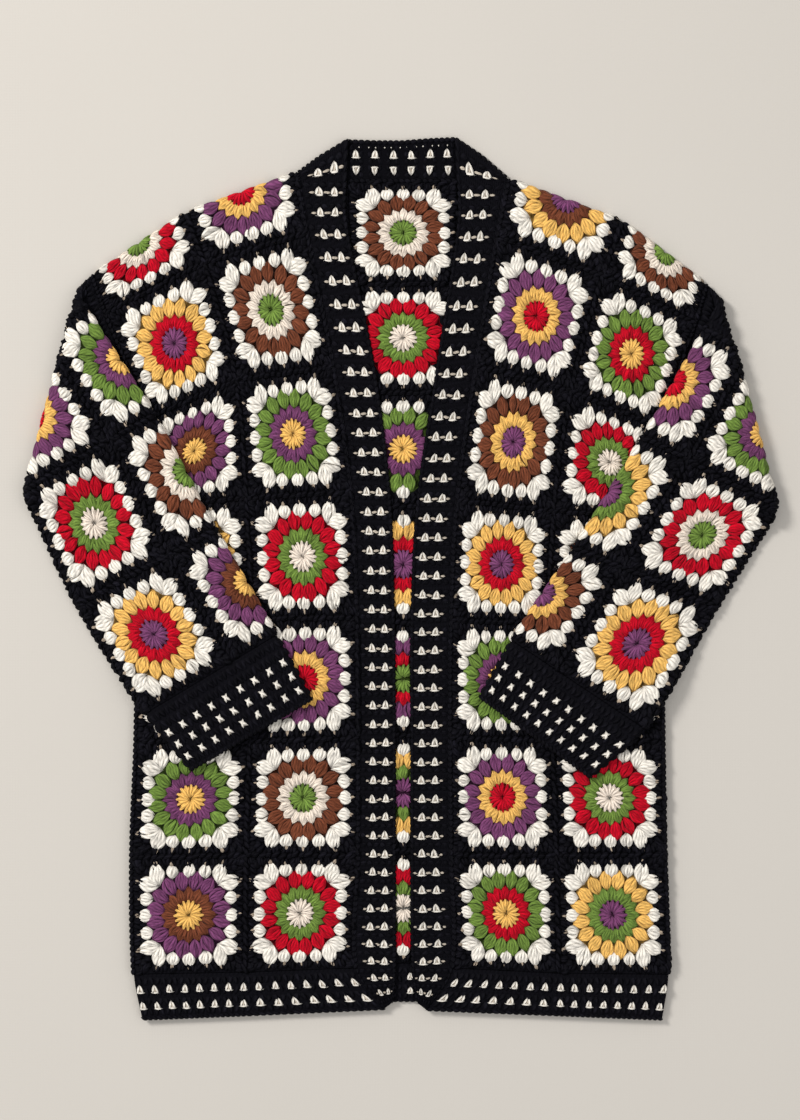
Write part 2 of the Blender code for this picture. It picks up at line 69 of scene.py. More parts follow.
# %% [markdown]
# ## The cut and how it lies
#
# A panel of squares is easy to describe before it is laid down: a square is one unit wide and long.
# The tables below say where the corners of the squares come to lie, in millimetres, with +Y towards
# the neck and +X towards the wearer's left. A smooth curve through the rows of a table gives every
# point between. These are the same tables as those of the solids, so the cloth fits them.

# %% Sizes of the cloth
WALL = 3.5 * MM                 # thickness of the plain crochet
LAYER_GAP = 0.4 * MM
RELIEF = 1.5 * MM               # how far the solids' squares stand out
FRONT_LEVEL = WALL + LAYER_GAP
STACK = 2 * WALL + LAYER_GAP
SLEEVE_LIFT = STACK + RELIEF + 0.5 * MM
FOLD_RADIUS = WALL + LAYER_GAP / 2
FOLD_SHARE = 0.055              # half of a fold's cloth, in squares
CREASE_INNER = (SLEEVE_LIFT - STACK) / 2
CREASE_OUTER = CREASE_INNER + STACK
CREASE_LENGTH = math.pi * CREASE_OUTER
ARMHOLE_CLEARANCE = 1.8 * MM
SQUARE = 108 * MM

FOLD_ROW, FIRST_ROW, HEM_ROW, END_ROW = 0.5, 1.0, 7.0, 7.4
BAND_SEAM, SIDE_SEAM = 0.5, 2.5  # a front's long edges, in squares from the body's middle
ARMHOLE_ROW, CUFF_ROW, CUFF_END = -0.3, 3.0, 3.55
UNDERARM_FOLD, UNDER_MIDDLE = 1.5, 2.5  # round a sleeve, from the fold that is on top

# %% Tables of the fronts, the back, the neck and the sleeves
FRONT_ROWS = {"right": (
    # row   side x, y     middle x, y   seam x, y     edge x, y
    (0.5, -294, 291, -204, 351, -98, 389, -50, 422),
    (1.0, -281, 255, -186, 303, -88, 332, -52, 353),
    (2.0, -243, 153, -156, 191, -63, 204, -24, 203),
    (3.0, -246, 69, -146, 78, -46, 84, -9, 81),
    (4.0, -250, -41, -141, -38, -40, -36, -5, -37),
    (5.0, -252, -155, -143, -155, -39, -152, -4, -152),
    (6.0, -256, -266, -146, -264, -39, -264, -4, -264),
    (7.0, -254, -378, -147, -376, -41, -372, -4, -372),
    (7.4, -246, -421, -147, -417, -14, -411, -6, -405),
), "left": (
    # row   side x, y     middle x, y   seam x, y     edge x, y
    (0.5, 295, 282, 214, 343, 105, 383, 55, 422),
    (1.0, 284, 246, 195, 291, 94, 328, 58, 353),
    (2.0, 252, 144, 165, 181, 74, 205, 36, 199),
    (3.0, 251, 57, 148, 66, 56, 76, 18, 76),
    (4.0, 252, -44, 144, -42, 50, -39, 12, -41),
    (5.0, 253, -155, 147, -153, 49, -152, 12, -153),
    (6.0, 255, -264, 151, -264, 50, -264, 12, -264),
    (7.0, 258, -378, 153, -377, 51, -372, 13, -372),
    (7.4, 252, -421, 153, -417, 26, -412, 18, -406),
)}
BACK_ROWS = (
    # row   right side    line 2        line 3      line 4     line 5      left side
    (0.0, -290, 360, -172, 381, -49, 381, 57, 381, 178, 378, 290, 355),
    (1.0, -281, 255, -172, 285, -49, 283, 57, 283, 178, 278, 284, 246),
    (2.0, -243, 153, -150, 179, -49, 179, 57, 179, 160, 172, 252, 144),
    (3.0, -246, 69, -150, 72, -49, 70, 57, 70, 156, 66, 251, 57),
    (4.0, -250, -41, -148, -40, -49, -41, 57, -41, 153, -42, 252, -44),
    (5.0, -252, -155, -148, -152, -49, -149, 57, -149, 153, -152, 253, -155),
    (6.0, -256, -266, -150, -262, -49, -260, 57, -260, 153, -262, 255, -264),
    (7.0, -254, -378, -152, -372, -49, -368, 57, -368, 153, -373, 258, -378),
    (7.4, -246, -421, -150, -413, -49, -404, 57, -404, 155, -412, 252, -421),
)
NECK_STATIONS = (
    # station outer x, y   seam x, y
    (0, -55, 300, -50, 300),
    (1, -72, 337, -50, 322),
    (2, -95, 389, -50, 344),
    (3, -76, 404, -50, 364),
    (4, -51, 420, -49, 382),
    (5, -23, 419, -23, 382),
    (6, 3, 419, 3, 382),
    (7, 30, 421, 30, 382),
    (8, 55, 422, 57, 382),
    (9, 79, 405, 58, 364),
    (10, 102, 384, 58, 344),
    (11, 80, 337, 58, 322),
    (12, 63, 300, 58, 300),
)
SLEEVE_ROWS = {"right": (
    # row   fold x, y    underarm x, y
    (0.0, -300, 261, -422, 180),
    (0.5, -267, 209, -393, 132),
    (1.0, -234, 157, -360, 84),
    (2.0, -175, 47, -308, -24),
    (3.0, -117, -53, -242, -128),
    (3.55, -83, -114, -199, -182),
), "left": (
    # row   fold x, y    underarm x, y
    (0.0, 293, 240, 416, 163),
    (0.5, 263, 188, 389, 116),
    (1.0, 233, 136, 363, 69),
    (2.0, 168, 31, 304, -26),
    (3.0, 108, -58, 234, -142),
    (3.55, 77, -112, 183, -189),
)}
CREASES = {"right": ((-306, 283), (-361, 72)), "left": ((306, 276), (362, 69))}
ARMHOLES = {"right": ((-294, 291), (-243, 153)), "left": ((295, 282), (252, 144))}
BODY_SIDE_X = {"right": -247 * MM, "left": 252 * MM}
SINK_START, SINK_END = 4 * MM, 38 * MM


# %% Reading a table
def smooth_line(rows, line, t):
    """Points of one line of a table at the values t: the cubic that leaves each row in the
    direction from the row before it to the row after it."""
    table = np.array(rows, float)
    knots, values = table[:, 0], table[:, 1 + 2 * line:3 + 2 * line] * MM
    t = np.asarray(t, float)
    i = np.clip(np.searchsorted(knots, t) - 1, 0, len(knots) - 2)
    at = np.arange(len(knots))
    before, after = np.maximum(at - 1, 0), np.minimum(at + 1, len(knots) - 1)
    slopes = (values[after] - values[before]) / (knots[after] - knots[before])[:, None]
    span = (knots[i + 1] - knots[i])[..., None]
    s = (t[..., None] - knots[i][..., None]) / span
    a, b = values[i], values[i + 1]
    return (a * (1 + 2 * s) * (1 - s) ** 2 + slopes[i] * span * s * (1 - s) ** 2
            + b * s * s * (3 - 2 * s) + slopes[i + 1] * span * s * s * (s - 1))


def straight_line(rows, line, t):
    """The same line of a table, straight from row to row."""
    table = np.array(rows, float)
    values = table[:, 1 + 2 * line:3 + 2 * line] * MM
    t = np.asarray(t, float)
    return np.stack([np.interp(t, table[:, 0], values[:, axis]) for axis in (0, 1)], axis=-1)


def mix(a, b, share):
    """The way from a to b, as far as the share says."""
    share = np.asarray(share)
    return a + (b - a) * (share[..., None] if np.ndim(a) > np.ndim(share) else share)


def ramp(value, low, high):
    """0 below low, 1 above high, and an S curve between them."""
    s = np.clip((value - low) / (high - low), 0, 1)
    return s * s * (3 - 2 * s)


# %% [markdown]
# ## Laying the body down
#
# A place function takes points of the cut, squares across, squares down and height through the
# cloth, and gives their places in the room. A front starts under the shoulder, goes round the fold
# on a half circle, and then lies on the back. All of it works on whole arrays at once.

# %% Place functions of the body
def floats(*values):
    """The values as arrays of one common shape."""
    return np.broadcast_arrays(*(np.asarray(value, float) for value in values))


def lifted(plan, height):
    """Points in the room from their plan and their height above the floor."""
    return np.concatenate([plan, height[..., None]], axis=-1)


def front_line(rows, line, down):
    """A line down a front: straight over the shoulder and a smooth curve below it."""
    down = np.asarray(down, float)
    over = (down < FIRST_ROW)[..., None]
    below = smooth_line(rows, line, np.maximum(down, FIRST_ROW))
    return np.where(over, straight_line(rows, line, down), below)


def front_plan(rows, across, down):
    """Plan of a front: across is 2.5 at the side seam and 0.5 at the seam of the band."""
    width = np.abs(across)
    side, middle, seam = (front_line(rows, line, down) for line in range(3))
    outer = mix(side, middle, np.clip(SIDE_SEAM - width, -0.1, 1))
    inner = mix(middle, seam, np.clip(SIDE_SEAM - 1 - width, 0, 1.1))
    return np.where((width > SIDE_SEAM - 1)[..., None], outer, inner)


def back_plan(across, down):
    """Plan of the back, straight across between the six lines of its table."""
    column = np.clip(np.floor(across + 2.5).astype(int), 0, 4)
    lines = np.stack([smooth_line(BACK_ROWS, line, down) for line in range(6)])
    index = np.arange(column.size).reshape(column.shape)
    flat = lines.reshape(6, -1, 2)
    left, right = (flat[column.ravel() + k, index.ravel()].reshape(*column.shape, 2) for k in (0, 1))
    return mix(left, right, across + 2.5 - column)


def lay_front(rows):
    """A front. Within the fold's share s, from -1 under it to 1 over it, the cloth stands radius
    cos(s pi/2) out from the fold's axis and radius sin(s pi/2) above it."""
    def place(across, down, height):
        across, down, height = floats(across, down, height)
        flat = front_plan(rows, across, np.maximum(down, FIRST_ROW))
        fold, over = (front_plan(rows, across, np.full_like(down, row)) for row in (FOLD_ROW, FIRST_ROW))
        under = back_plan(across, np.full_like(down, FIRST_ROW))
        inward = (over - fold) / np.linalg.norm(over - fold, axis=-1, keepdims=True)
        axis = fold + inward * FOLD_RADIUS
        share = np.clip((down - FOLD_ROW) / FOLD_SHARE, -1, 1)
        radius = LAYER_GAP / 2 + height
        run = np.clip((np.abs(down - FOLD_ROW) - FOLD_SHARE) / (FOLD_ROW - FOLD_SHARE), 0, None)
        target = np.where((share > 0)[..., None], over, under)
        plan = mix(axis, target, run) - inward * (radius * np.cos(share * math.pi / 2))[..., None]
        plan = np.where((down >= FIRST_ROW)[..., None], flat, plan)
        rise = np.where(down >= FIRST_ROW, radius, radius * np.sin(share * math.pi / 2))
        return lifted(plan, FOLD_RADIUS + rise)
    return place


def lay_back(across, down, height):
    """The back and its hem, flat on the floor."""
    across, down, height = floats(across, down, height)
    return lifted(back_plan(across, down), height)


def lay_band(rows):
    """A front band: across runs from 0 at its seam to 1 at its open edge, straight between the two
    lines of the table."""
    def place(across, down, height):
        across, down, height = floats(across, down, height)
        plan = mix(front_line(rows, 2, down), front_line(rows, 3, down), across)
        return lifted(plan, FRONT_LEVEL + height)
    return place


def lay_hem(rows):
    """The hem of a front, which lies on the back's hem."""
    def place(across, down, height):
        across, down, height = floats(across, down, height)
        return lifted(front_plan(rows, across, down), FRONT_LEVEL + height)
    return place


def lay_neck(across, down, height):
    """The neck band: down runs along its stations."""
    across, down, height = floats(across, down, height)
    plan = mix(straight_line(NECK_STATIONS, 1, down), straight_line(NECK_STATIONS, 0, down), across)
    return lifted(plan, height)


# %% [markdown]
# ## Turning the sleeves over
#
# A sleeve is a tube. It is flattened first: half of it lies on the other half, with a narrow fold at
# each side. Then everything beyond the outer crease rolls round the crease's axis, like a page that
# is turned, and ends up on the front. Where nothing lies under it, it sinks to the floor.

# %% The sleeve's place function
class Sleeve:
    """Rolled out flat first, then turned over about the crease."""

    def __init__(self, side):
        top, bottom = (np.array(point) * MM for point in CREASES[side])
        run = (bottom - top) / np.linalg.norm(bottom - top)
        self.inward = np.array([-run[1], run[0]])
        if self.inward[0] * top[0] > 0:
            self.inward = -self.inward
        self.axis = top + self.inward * CREASE_OUTER
        self.underarm = np.array(ARMHOLES[side][1]) * MM
        first = [ARMHOLE_ROW]
        for point in ARMHOLES[side]:
            spot = np.array(point) * MM - self.inward * ARMHOLE_CLEARANCE
            depth = (spot - self.axis) @ self.inward
            first += list((spot - self.inward * (2 * depth + CREASE_LENGTH)) / MM)
        self.rows = (tuple(first),) + SLEEVE_ROWS[side]
        outer_end = smooth_line(self.rows, 1, 1.0)
        end = outer_end + self.inward * (2 * self.beyond(outer_end) - CREASE_LENGTH)
        wedge = (end - self.underarm) / np.linalg.norm(end - self.underarm)
        self.wedge_normal = np.array([-wedge[1], wedge[0]])
        if self.wedge_normal[1] > 0:
            self.wedge_normal = -self.wedge_normal
        self.outward = math.copysign(1.0, top[0])
        self.body_side = BODY_SIDE_X[side]

    def beyond(self, plan):
        """How far a point of the rolled-out tube lies beyond the crease's axis."""
        return -(plan - self.axis) @ self.inward

    def rolled_out(self, across, down, height):
        """Plan and height of the flattened tube before it is turned over. The upper fold is at
        across 0 and the underarm's fold at UNDERARM_FOLD. Between the folds the cloth lies level;
        round a fold it goes a quarter turn down to the fold's middle on the radius
        LAYER_GAP / 2 + height, and the other half of the tube mirrors it below."""
        fold, underarm = (smooth_line(self.rows, line, down) for line in (0, 1))
        width = np.linalg.norm(underarm - fold, axis=-1)
        run = (underarm - fold) / width[..., None]
        upper = (across >= 0) & (across <= UNDERARM_FOLD)
        way = np.where(upper, across, np.where(across < 0, -across, 2 * UNDERARM_FOLD - across))
        radius = LAYER_GAP / 2 + height
        near = np.clip(way / FOLD_SHARE, 0, 1) * math.pi / 2
        far = np.clip((UNDERARM_FOLD - way) / FOLD_SHARE, 0, 1) * math.pi / 2
        share = np.clip((way - FOLD_SHARE) / (UNDERARM_FOLD - 2 * FOLD_SHARE), 0, 1)
        distance = FOLD_RADIUS + share * (width - 2 * FOLD_RADIUS) + radius * (np.cos(far) - np.cos(near))
        rise = radius * np.sin(np.minimum(near, far))
        return fold + run * distance[..., None], FOLD_RADIUS + np.where(upper, rise, -rise)

    def past(self, share, across, down):
        """Whether the cloth's outer side is past this share of the way round the crease."""
        plan, _ = self.rolled_out(across, down, np.full_like(across, WALL))
        return self.beyond(plan) > share * CREASE_LENGTH

    def sink(self, plan):
        """How far the turned sleeve lies lower than where the body carries it."""
        distance = np.minimum((plan[..., 0] - self.body_side) * self.outward,
                              (plan - self.underarm) @ self.wedge_normal)
        return SLEEVE_LIFT * ramp(distance, SINK_START, SINK_END)

    def __call__(self, across, down, height):
        """The place function. Round the crease the cloth's angle grows with the way b beyond the
        axis: pi b / CREASE_LENGTH, up to half a turn."""
        across, down, height = floats(across, down, height)
        plan, level = self.rolled_out(across, down, height)
        beyond = self.beyond(plan)
        angle = np.clip(beyond / CREASE_LENGTH, 0, 1) * math.pi
        radius = CREASE_INNER + level
        centre = SLEEVE_LIFT - CREASE_INNER
        inward = beyond - radius * np.sin(angle) + np.maximum(beyond - CREASE_LENGTH, 0)
        inward = np.where(beyond <= 0, 0, inward)
        z = np.where(beyond <= 0, SLEEVE_LIFT + level - self.sink(plan), centre + radius * np.cos(angle))
        return lifted(plan + inward[..., None] * self.inward, z)


# %% All place functions
SIGNS = {"right": -1, "left": 1}
places = {"back": lay_back, "back_hem": lay_back, "neck_band": lay_neck}
for side in SIGNS:
    rows = FRONT_ROWS[side]
    places[side + "_front"] = lay_front(rows)
    places[side + "_front_band"] = lay_band(rows)
    places[side + "_front_hem"] = lay_hem(rows)
    places[side + "_sleeve"] = places[side + "_cuff"] = Sleeve(side)
print("panels:", sorted(places))

# %% [markdown]
# ## Making meshes
#
# Blender takes whole arrays: the points, the corners of the faces, and a colour and a map value for
# each point. The map value says how far along and around a strand a point lies, so that the twist of
# the yarn can follow each stitch.

# %% Meshes from arrays
pieces = {}


def make_piece(name, points, faces, uv, colours, material, replaced=()):
    """A piece from points (n, 3), quads or triangles, a map value and a colour for each point."""
    data = bpy.data.meshes.new(name)
    corners = np.concatenate([np.asarray(block).ravel() for block in faces]).astype(np.int32)
    sizes = np.concatenate([np.full(len(block), np.shape(block)[1]) for block in faces]).astype(np.int32)
    starts = np.concatenate([[0], np.cumsum(sizes)[:-1]]).astype(np.int32)
    data.vertices.add(len(points))
    data.vertices.foreach_set("co", np.asarray(points, np.float32).ravel())
    data.loops.add(len(corners))
    data.loops.foreach_set("vertex_index", corners)
    data.polygons.add(len(sizes))
    data.polygons.foreach_set("loop_start", starts)
    data.update(calc_edges=True)
    layer = data.uv_layers.new(name="yarn")
    layer.data.foreach_set("uv", np.asarray(uv, np.float32)[corners].ravel())
    for attribute, values in colours.items():
        store = data.color_attributes.new(name=attribute, type="FLOAT_COLOR", domain="POINT")
        rgba = np.column_stack([values, np.ones(len(points))]).astype(np.float32)
        store.data.foreach_set("color", rgba.ravel())
    data.validate()
    data.shade_smooth()
    data.materials.append(material)
    piece = pieces[name] = bpy.data.objects.new(name, data)
    bpy.context.collection.objects.link(piece)
    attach(piece, BODY)
    if replaced:
        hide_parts(*replaced)
    print(name, len(points), "points,", int((sizes - 2).sum()), "triangles")


def faces_turned_out(points, faces):
    """Turn all faces over if the volume that they close comes out negative."""
    volume = 0.0
    for block in faces:
        for k in range(1, block.shape[1] - 1):
            a, b, c = points[block[:, 0]], points[block[:, k]], points[block[:, k + 1]]
            volume += float((a * np.cross(b, c)).sum())
    return faces if volume > 0 else [block[:, ::-1] for block in faces]


# %% [markdown]
# ## Colours and the plan of the squares
#
# Every square has a centre, a round of petals and a round of leaves in three of six colours, then a
# round of cream and a round of black. The lists say which colours each square has, row by row from
# the shoulder or the armhole down: leaves, petals, centre. Squares that the photo hides are guesses.

# %% Yarn colours
YARN = {
    "black": (0.0036, 0.0034, 0.0054),
    "cream": (1.000, 0.945, 0.850),
    "inner cream": (0.930, 0.810, 0.690),   # the same yarn inside a square, a little in shade
    "red": (0.550, 0.0015, 0.016),
    "green": (0.160, 0.260, 0.048),
    "purple": (0.186, 0.054, 0.147),
    "yellow": (0.960, 0.560, 0.148),
    "brown": (0.177, 0.051, 0.0235),
    "shade": (0.420, 0.340, 0.260),         # its ends, low between the black stitches
    "thread": (0.640, 0.560, 0.460),        # cream yarn in painted shade, where it goes on under the black of a band and in a stitch's middle
}

SQUARES = {"right_front": {
    -1: ("purple yellow red", "brown cream green", "green purple yellow", "red green cream",
         "purple yellow red", "brown cream green", "red green cream"),
    -2: ("red cream green", "yellow red purple", "purple brown yellow", "yellow brown purple",
         "brown cream green", "green purple yellow", "purple brown yellow"),
}, "left_front": {
    1: ("yellow brown purple", "purple yellow red", "brown yellow purple", "yellow red purple",
        "green purple yellow", "purple yellow red", "green red yellow"),
    2: ("brown cream green", "green red yellow", "red green cream", "brown yellow green",
        "purple yellow red", "red green cream", "yellow green purple"),
}, "back": {
    0: ("brown cream green", "red green cream", "green purple yellow", "yellow red purple",
        "purple red green", "yellow green purple", "red green cream"),
}, "right_sleeve": {
    0: ("green purple yellow", "brown cream green", "purple brown yellow"),
    1: ("purple yellow red", "red green cream", "yellow red purple"),
    2: ("yellow red purple", "green red yellow", "brown cream green"),
}, "left_sleeve": {
    0: ("purple yellow red", "yellow green purple", "brown yellow purple"),
    1: ("green purple yellow", "red cream green", "yellow red purple"),
    2: ("brown cream green", "purple brown yellow", "red green cream"),
}}
HIDDEN_BACK = ("green purple yellow", "purple brown yellow", "red cream green", "yellow red purple",
               "brown cream green", "purple yellow red", "green red yellow")
for column in (-2, -1, 1, 2):
    SQUARES["back"][column] = tuple(HIDDEN_BACK[(3 * column + row) % 7] for row in range(7))


def square_colours(squares, across, down):
    """The three colours of the square under each point, and whether there is a square. A column
    is counted from half a square beside its whole number, a row from its whole number down."""
    column, row = np.floor(across + 0.5).astype(int), np.floor(down).astype(int)
    colours = np.zeros((3, len(across), 3))
    here = np.zeros(len(across))
    for at, names in squares.items():
        for index, triple in enumerate(names):
            found = (column == at) & (row == index)
            here[found] = 1
            for k, name in enumerate(triple.split()):
                colours[k, found] = YARN[name]
    return colours, here


# %% [markdown]
# ## Wool
#
# A colour alone is not wool. The shader twists plies round each strand by reading its map value,
# adds a slow change of tone and a fine nap, and paints shade into the grooves between the plies and
# low on the strands' flanks. The small class below lets the node graph be written as sums and
# products.

# %% Shader maths as expressions
class Socket:
    """A value in a material's node graph. Operators add Math nodes."""

    def __init__(self, graph, link):
        self.graph, self.link = graph, link

    def math(self, operation, *others, clamp=False):
        """A Math node with this value first and the others after it."""
        return self.graph.node("ShaderNodeMath", {"operation": operation, "use_clamp": clamp},
                               dict(enumerate((self,) + others)))

    def __add__(self, other):
        return self.math("ADD", other)

    def __sub__(self, other):
        return self.math("SUBTRACT", other)

    def __mul__(self, other):
        return self.math("MULTIPLY", other)

    def __rsub__(self, other):
        return self.graph.node("ShaderNodeMath", {"operation": "SUBTRACT"}, {0: other, 1: self})

    __radd__, __rmul__ = __add__, __mul__

    def sine(self):
        return self.math("SINE")

    def power(self, exponent):
        return self.math("POWER", exponent)

    def largest(self, other):
        return self.math("MAXIMUM", other)

    def smallest(self, other):
        return self.math("MINIMUM", other)

    def part(self):
        """What is left above the whole number below."""
        return self.math("FRACT")

    def step(self, low, high):
        """0 below low, 1 above high, and straight between."""
        return ((self - low) * (1.0 / (high - low))).math("ADD", 0.0, clamp=True)


class Graph:
    """The node graph of one material."""

    def __init__(self, name, **settings):
        self.material = bpy.data.materials.new(name)
        self.material.use_nodes = True
        self.tree = self.material.node_tree
        self.shader = self.tree.nodes["Principled BSDF"]
        for socket, value in settings.items():
            self.shader.inputs[socket.replace("_", " ")].default_value = value

    def node(self, kind, settings=None, values=None, output=0):
        """A node of a type: first its settings, then the values or links of its sockets."""
        node = self.tree.nodes.new(kind)
        for setting, value in (settings or {}).items():
            setattr(node, setting, value)
        for socket, value in (values or {}).items():
            self.put(node.inputs[socket], value)
        return Socket(self, node.outputs[output])

    def put(self, socket, value):
        """Links a value of the graph to a socket, or sets a plain number or colour."""
        if isinstance(value, Socket):
            self.tree.links.new(value.link, socket)
        else:
            socket.default_value = value

    def feed(self, socket, value):
        """Puts a value into the shader that the material ends in."""
        self.put(self.shader.inputs[socket], value)

    def blend(self, share, a, b, mode="MIX"):
        """A colour between a and b."""
        return self.node("ShaderNodeMix", {"data_type": "RGBA", "blend_type": mode},
                         {0: share, 6: a, 7: b}, output=2)

    def colour(self, attribute):
        """The colour that make_piece stored at the points under this name."""
        return self.node("ShaderNodeAttribute", {"attribute_name": attribute}, output=0)

    def grey(self, value):
        """A grey as light as the value."""
        return self.node("ShaderNodeCombineColor", {}, {0: value, 1: value, 2: value})

    def map_value(self):
        """The two map values of the point: along and around a strand, or across and down."""
        uv = self.node("ShaderNodeUVMap", {"uv_map": "yarn"})
        split = self.node("ShaderNodeSeparateXYZ", {}, {0: uv})
        return split, Socket(self, split.link.node.outputs[1])

    def noise(self, scale, detail=2.0, rough=0.5):
        """Smooth chance between 0 and 1, with so many waves to the metre."""
        place = self.node("ShaderNodeTexCoord", output=3)
        return self.node("ShaderNodeTexNoise", {}, {"Vector": place, "Scale": scale, "Detail": detail,
                                                    "Roughness": rough})

    def bump(self, height, distance, strength=1.0, normal=None):
        """A surface direction bent as if the height, 0 to 1, stood out by the distance."""
        values = {"Height": height, "Distance": distance, "Strength": strength}
        if normal is not None:
            values["Normal"] = normal
        return self.node("ShaderNodeBump", {}, values)


# %% Wool of the stitches
PLIES = 3.0


def wool_of_strands(name, rough, sheen, gloss, groove_shade):
    """Twisted yarn: plies wind round the strand as its map value turns, with painted shade in the
    grooves between them. A strand has painted shade low on its flanks, where its neighbours press on
    it, down to the share of its light that the last argument gives."""
    graph = Graph(name, Roughness=rough, Sheen_Weight=sheen, Sheen_Roughness=0.45,
                  Specular_IOR_Level=gloss)
    along, around = graph.map_value()
    ply = ((along + around * PLIES) * (2 * math.pi)).sine() * 0.5 + 0.5
    tone = graph.noise(90.0, 3.0)
    loops = graph.noise(420.0, 2.0)
    nap = graph.noise(1500.0, 2.0, 0.7)
    # painted shade: a strand is darker low on its flanks, where its neighbours press on it
    top = (around * (2 * math.pi) + math.pi / 2).sine() * -0.5 + 0.5
    flank_shade = top.step(0.25, 0.95) * (1 - groove_shade) + groove_shade
    # painted shade: darker in the grooves between the plies
    light = ply.power(0.7) * 0.46 + 0.62
    light = light * (tone * 0.4 + 0.8) * (loops * 0.6 + 0.72) * (nap * 0.36 + 0.82)
    grey = graph.grey((light * flank_shade).smallest(1.0))
    graph.feed("Base Color", graph.blend(1.0, graph.colour("colour"), grey, "MULTIPLY"))
    plies = graph.bump(ply, 0.6 * MM, 1.0)
    knobs = graph.bump(loops, 0.5 * MM, 0.7, plies)
    graph.feed("Normal", graph.bump(nap, 0.25 * MM, 0.6, knobs))
    return graph.material


WOOL = wool_of_strands("wool_of_stitches", 0.88, 0.05, 0.12, 0.25)
BLACK_WOOL = wool_of_strands("black_wool", 0.75, 0.0, 0.06, 0.45)

# %% [markdown]
# The ground reads its place in the cut as its map value. From it the shader works out how far a
# point is from the middle of its square, and paints the rounds. Where real stitches stand on the
# ground only the gaps between them show, so painted shade makes it darker there. The hidden side of
# the garment and the squares under the sleeves show the rounds as painted, with a little painted
# shade. On both, painted shade also darkens the lines between the petals and between the leaves.

# %% Wool of the ground
ROUND_RADII = (0.245, 0.46, 0.74)        # centre, petals, leaves: share of half a square
CREAM_REACH = 0.86
STITCHES_PER_SQUARE = 26.0


def wool_of_ground():
    """Black crochet with the rounds of the squares painted from the map value."""
    graph = Graph("black_crochet", Roughness=0.9, Specular_IOR_Level=0.06)
    across, down = graph.map_value()
    x = ((across + 0.5).part() - 0.5) * 2.0
    y = (down.part() - 0.5) * 2.0
    radius = (x * x + y * y).power(0.5)
    angle = graph.node("ShaderNodeMath", {"operation": "ARCTAN2"}, {0: y, 1: x})
    petal = (angle * 16.0 + math.pi / 2).sine()
    leaf = petal * -1.0
    square = ((x * x).power(2.0) + (y * y).power(2.0)).power(0.25)
    facts = graph.node("ShaderNodeSeparateColor", {}, {0: graph.colour("facts")})
    is_square, shade, bare = (Socket(graph, facts.link.node.outputs[k]) for k in range(3))
    cream = (CREAM_REACH - square + petal * 0.03).step(-0.01, 0.01) * bare
    leaves = (ROUND_RADII[2] - radius + leaf * 0.025).step(-0.01, 0.01)
    petals = (ROUND_RADII[1] - radius + petal * 0.02).step(-0.01, 0.01)
    centre = (ROUND_RADII[0] - radius + petal * 0.01).step(-0.01, 0.01)
    colour = graph.blend(cream * is_square, (*YARN["black"], 1), (*YARN["cream"], 1))
    for mask, name in ((leaves, "outer"), (petals, "middle"), (centre, "inner")):
        colour = graph.blend(mask * is_square, colour, graph.colour(name))
    # painted shade: dark where only gaps between real stitches show, a little darker where rounds are
    # painted, and darker on the lines between petals and between leaves
    inside = cream.largest(leaves) * is_square
    gap_shade = (leaf * 0.5 + 0.5).step(0.0, 0.35) * leaves + (petal * 0.5 + 0.5).step(0.0, 0.35) * (1 - leaves)
    light = (1 - inside) + inside * shade * (gap_shade * 0.6 + 0.4)
    tone = graph.noise(70.0, 3.0) * 0.5 + 0.75
    graph.feed("Base Color", graph.blend(1.0, colour, graph.grey(light * tone), "MULTIPLY"))
    rows = STITCHES_PER_SQUARE
    lean = (down * (rows * math.pi)).sine() * 0.18
    stitch = ((across * rows + lean) * (2 * math.pi)).sine() * 0.5 + 0.5
    course = (down * (rows * 2 * math.pi)).sine() * 0.5 + 0.5
    nap = graph.noise(1300.0, 2.0, 0.7)
    height = stitch * (course * 0.7 + 0.3) + nap * 0.35
    graph.feed("Normal", graph.bump(height, 0.9 * MM, 0.9))
    return graph.material


GROUND_WOOL = wool_of_ground()

# %% [markdown]
# ## The black ground
#
# Under the stitches each panel is a soft wall of black crochet with rounded edges. Two grids, one
# over and one under the middle of the wall, come together at the edges like a pillow's two sides.
# Points that fall together are merged, so the wall is closed.

# %% Walls of cloth
EDGE = 1.7 * MM                 # radius of an edge of the cloth
EDGE_STEPS = np.array([0, 0.08, 0.3, 0.65, 1.0]) * EDGE / SQUARE
SAME_PLACE = 0.002 * MM


def grid_lines(start, stop, step):
    """Positions from start to stop, closer together near the two rounded edges."""
    low = start + EDGE_STEPS
    high = (stop - EDGE_STEPS)[::-1]
    count = max(int(round((high[0] - low[-1]) / step)), 1)
    return np.concatenate([low, np.linspace(low[-1], high[0], count + 1)[1:-1], high])


def edge_rise(lines, start, stop):
    """A quarter circle's rise from each end: sqrt(1 - (1 - s)^2) at the share s of its radius."""
    share = np.clip(np.minimum(lines - start, stop - lines) / EDGE_STEPS[-1], 0, 1)
    return np.sqrt(np.clip(1 - (1 - share) ** 2, 0, 1))


def grid_quads(rows, columns, offset=0, flip=False, wrap=False):
    """Corners of the quads of a grid of points that is stored row by row."""
    i, j = np.meshgrid(np.arange(rows - 1), np.arange(columns if wrap else columns - 1), indexing="ij")
    after = (j + 1) % columns
    quads = np.stack([i * columns + j, (i + 1) * columns + j, (i + 1) * columns + after,
                      i * columns + after], axis=-1).reshape(-1, 4) + offset
    return quads[:, ::-1] if flip else quads


def merged(points, faces, *values):
    """Points that fall together become one, and quads that lose a corner become triangles."""
    _, first, index = np.unique(np.round(points / SAME_PLACE).astype(np.int64), axis=0,
                                return_index=True, return_inverse=True)
    faces = index.ravel()[faces]
    same = faces == np.roll(faces, -1, axis=1)
    whole, three = faces[~same.any(axis=1)], faces[same.sum(axis=1) == 1]
    lost = same[same.sum(axis=1) == 1]
    triangles = three[~lost].reshape(-1, 3)
    return points[first], [whole, triangles], [value[first] for value in values]


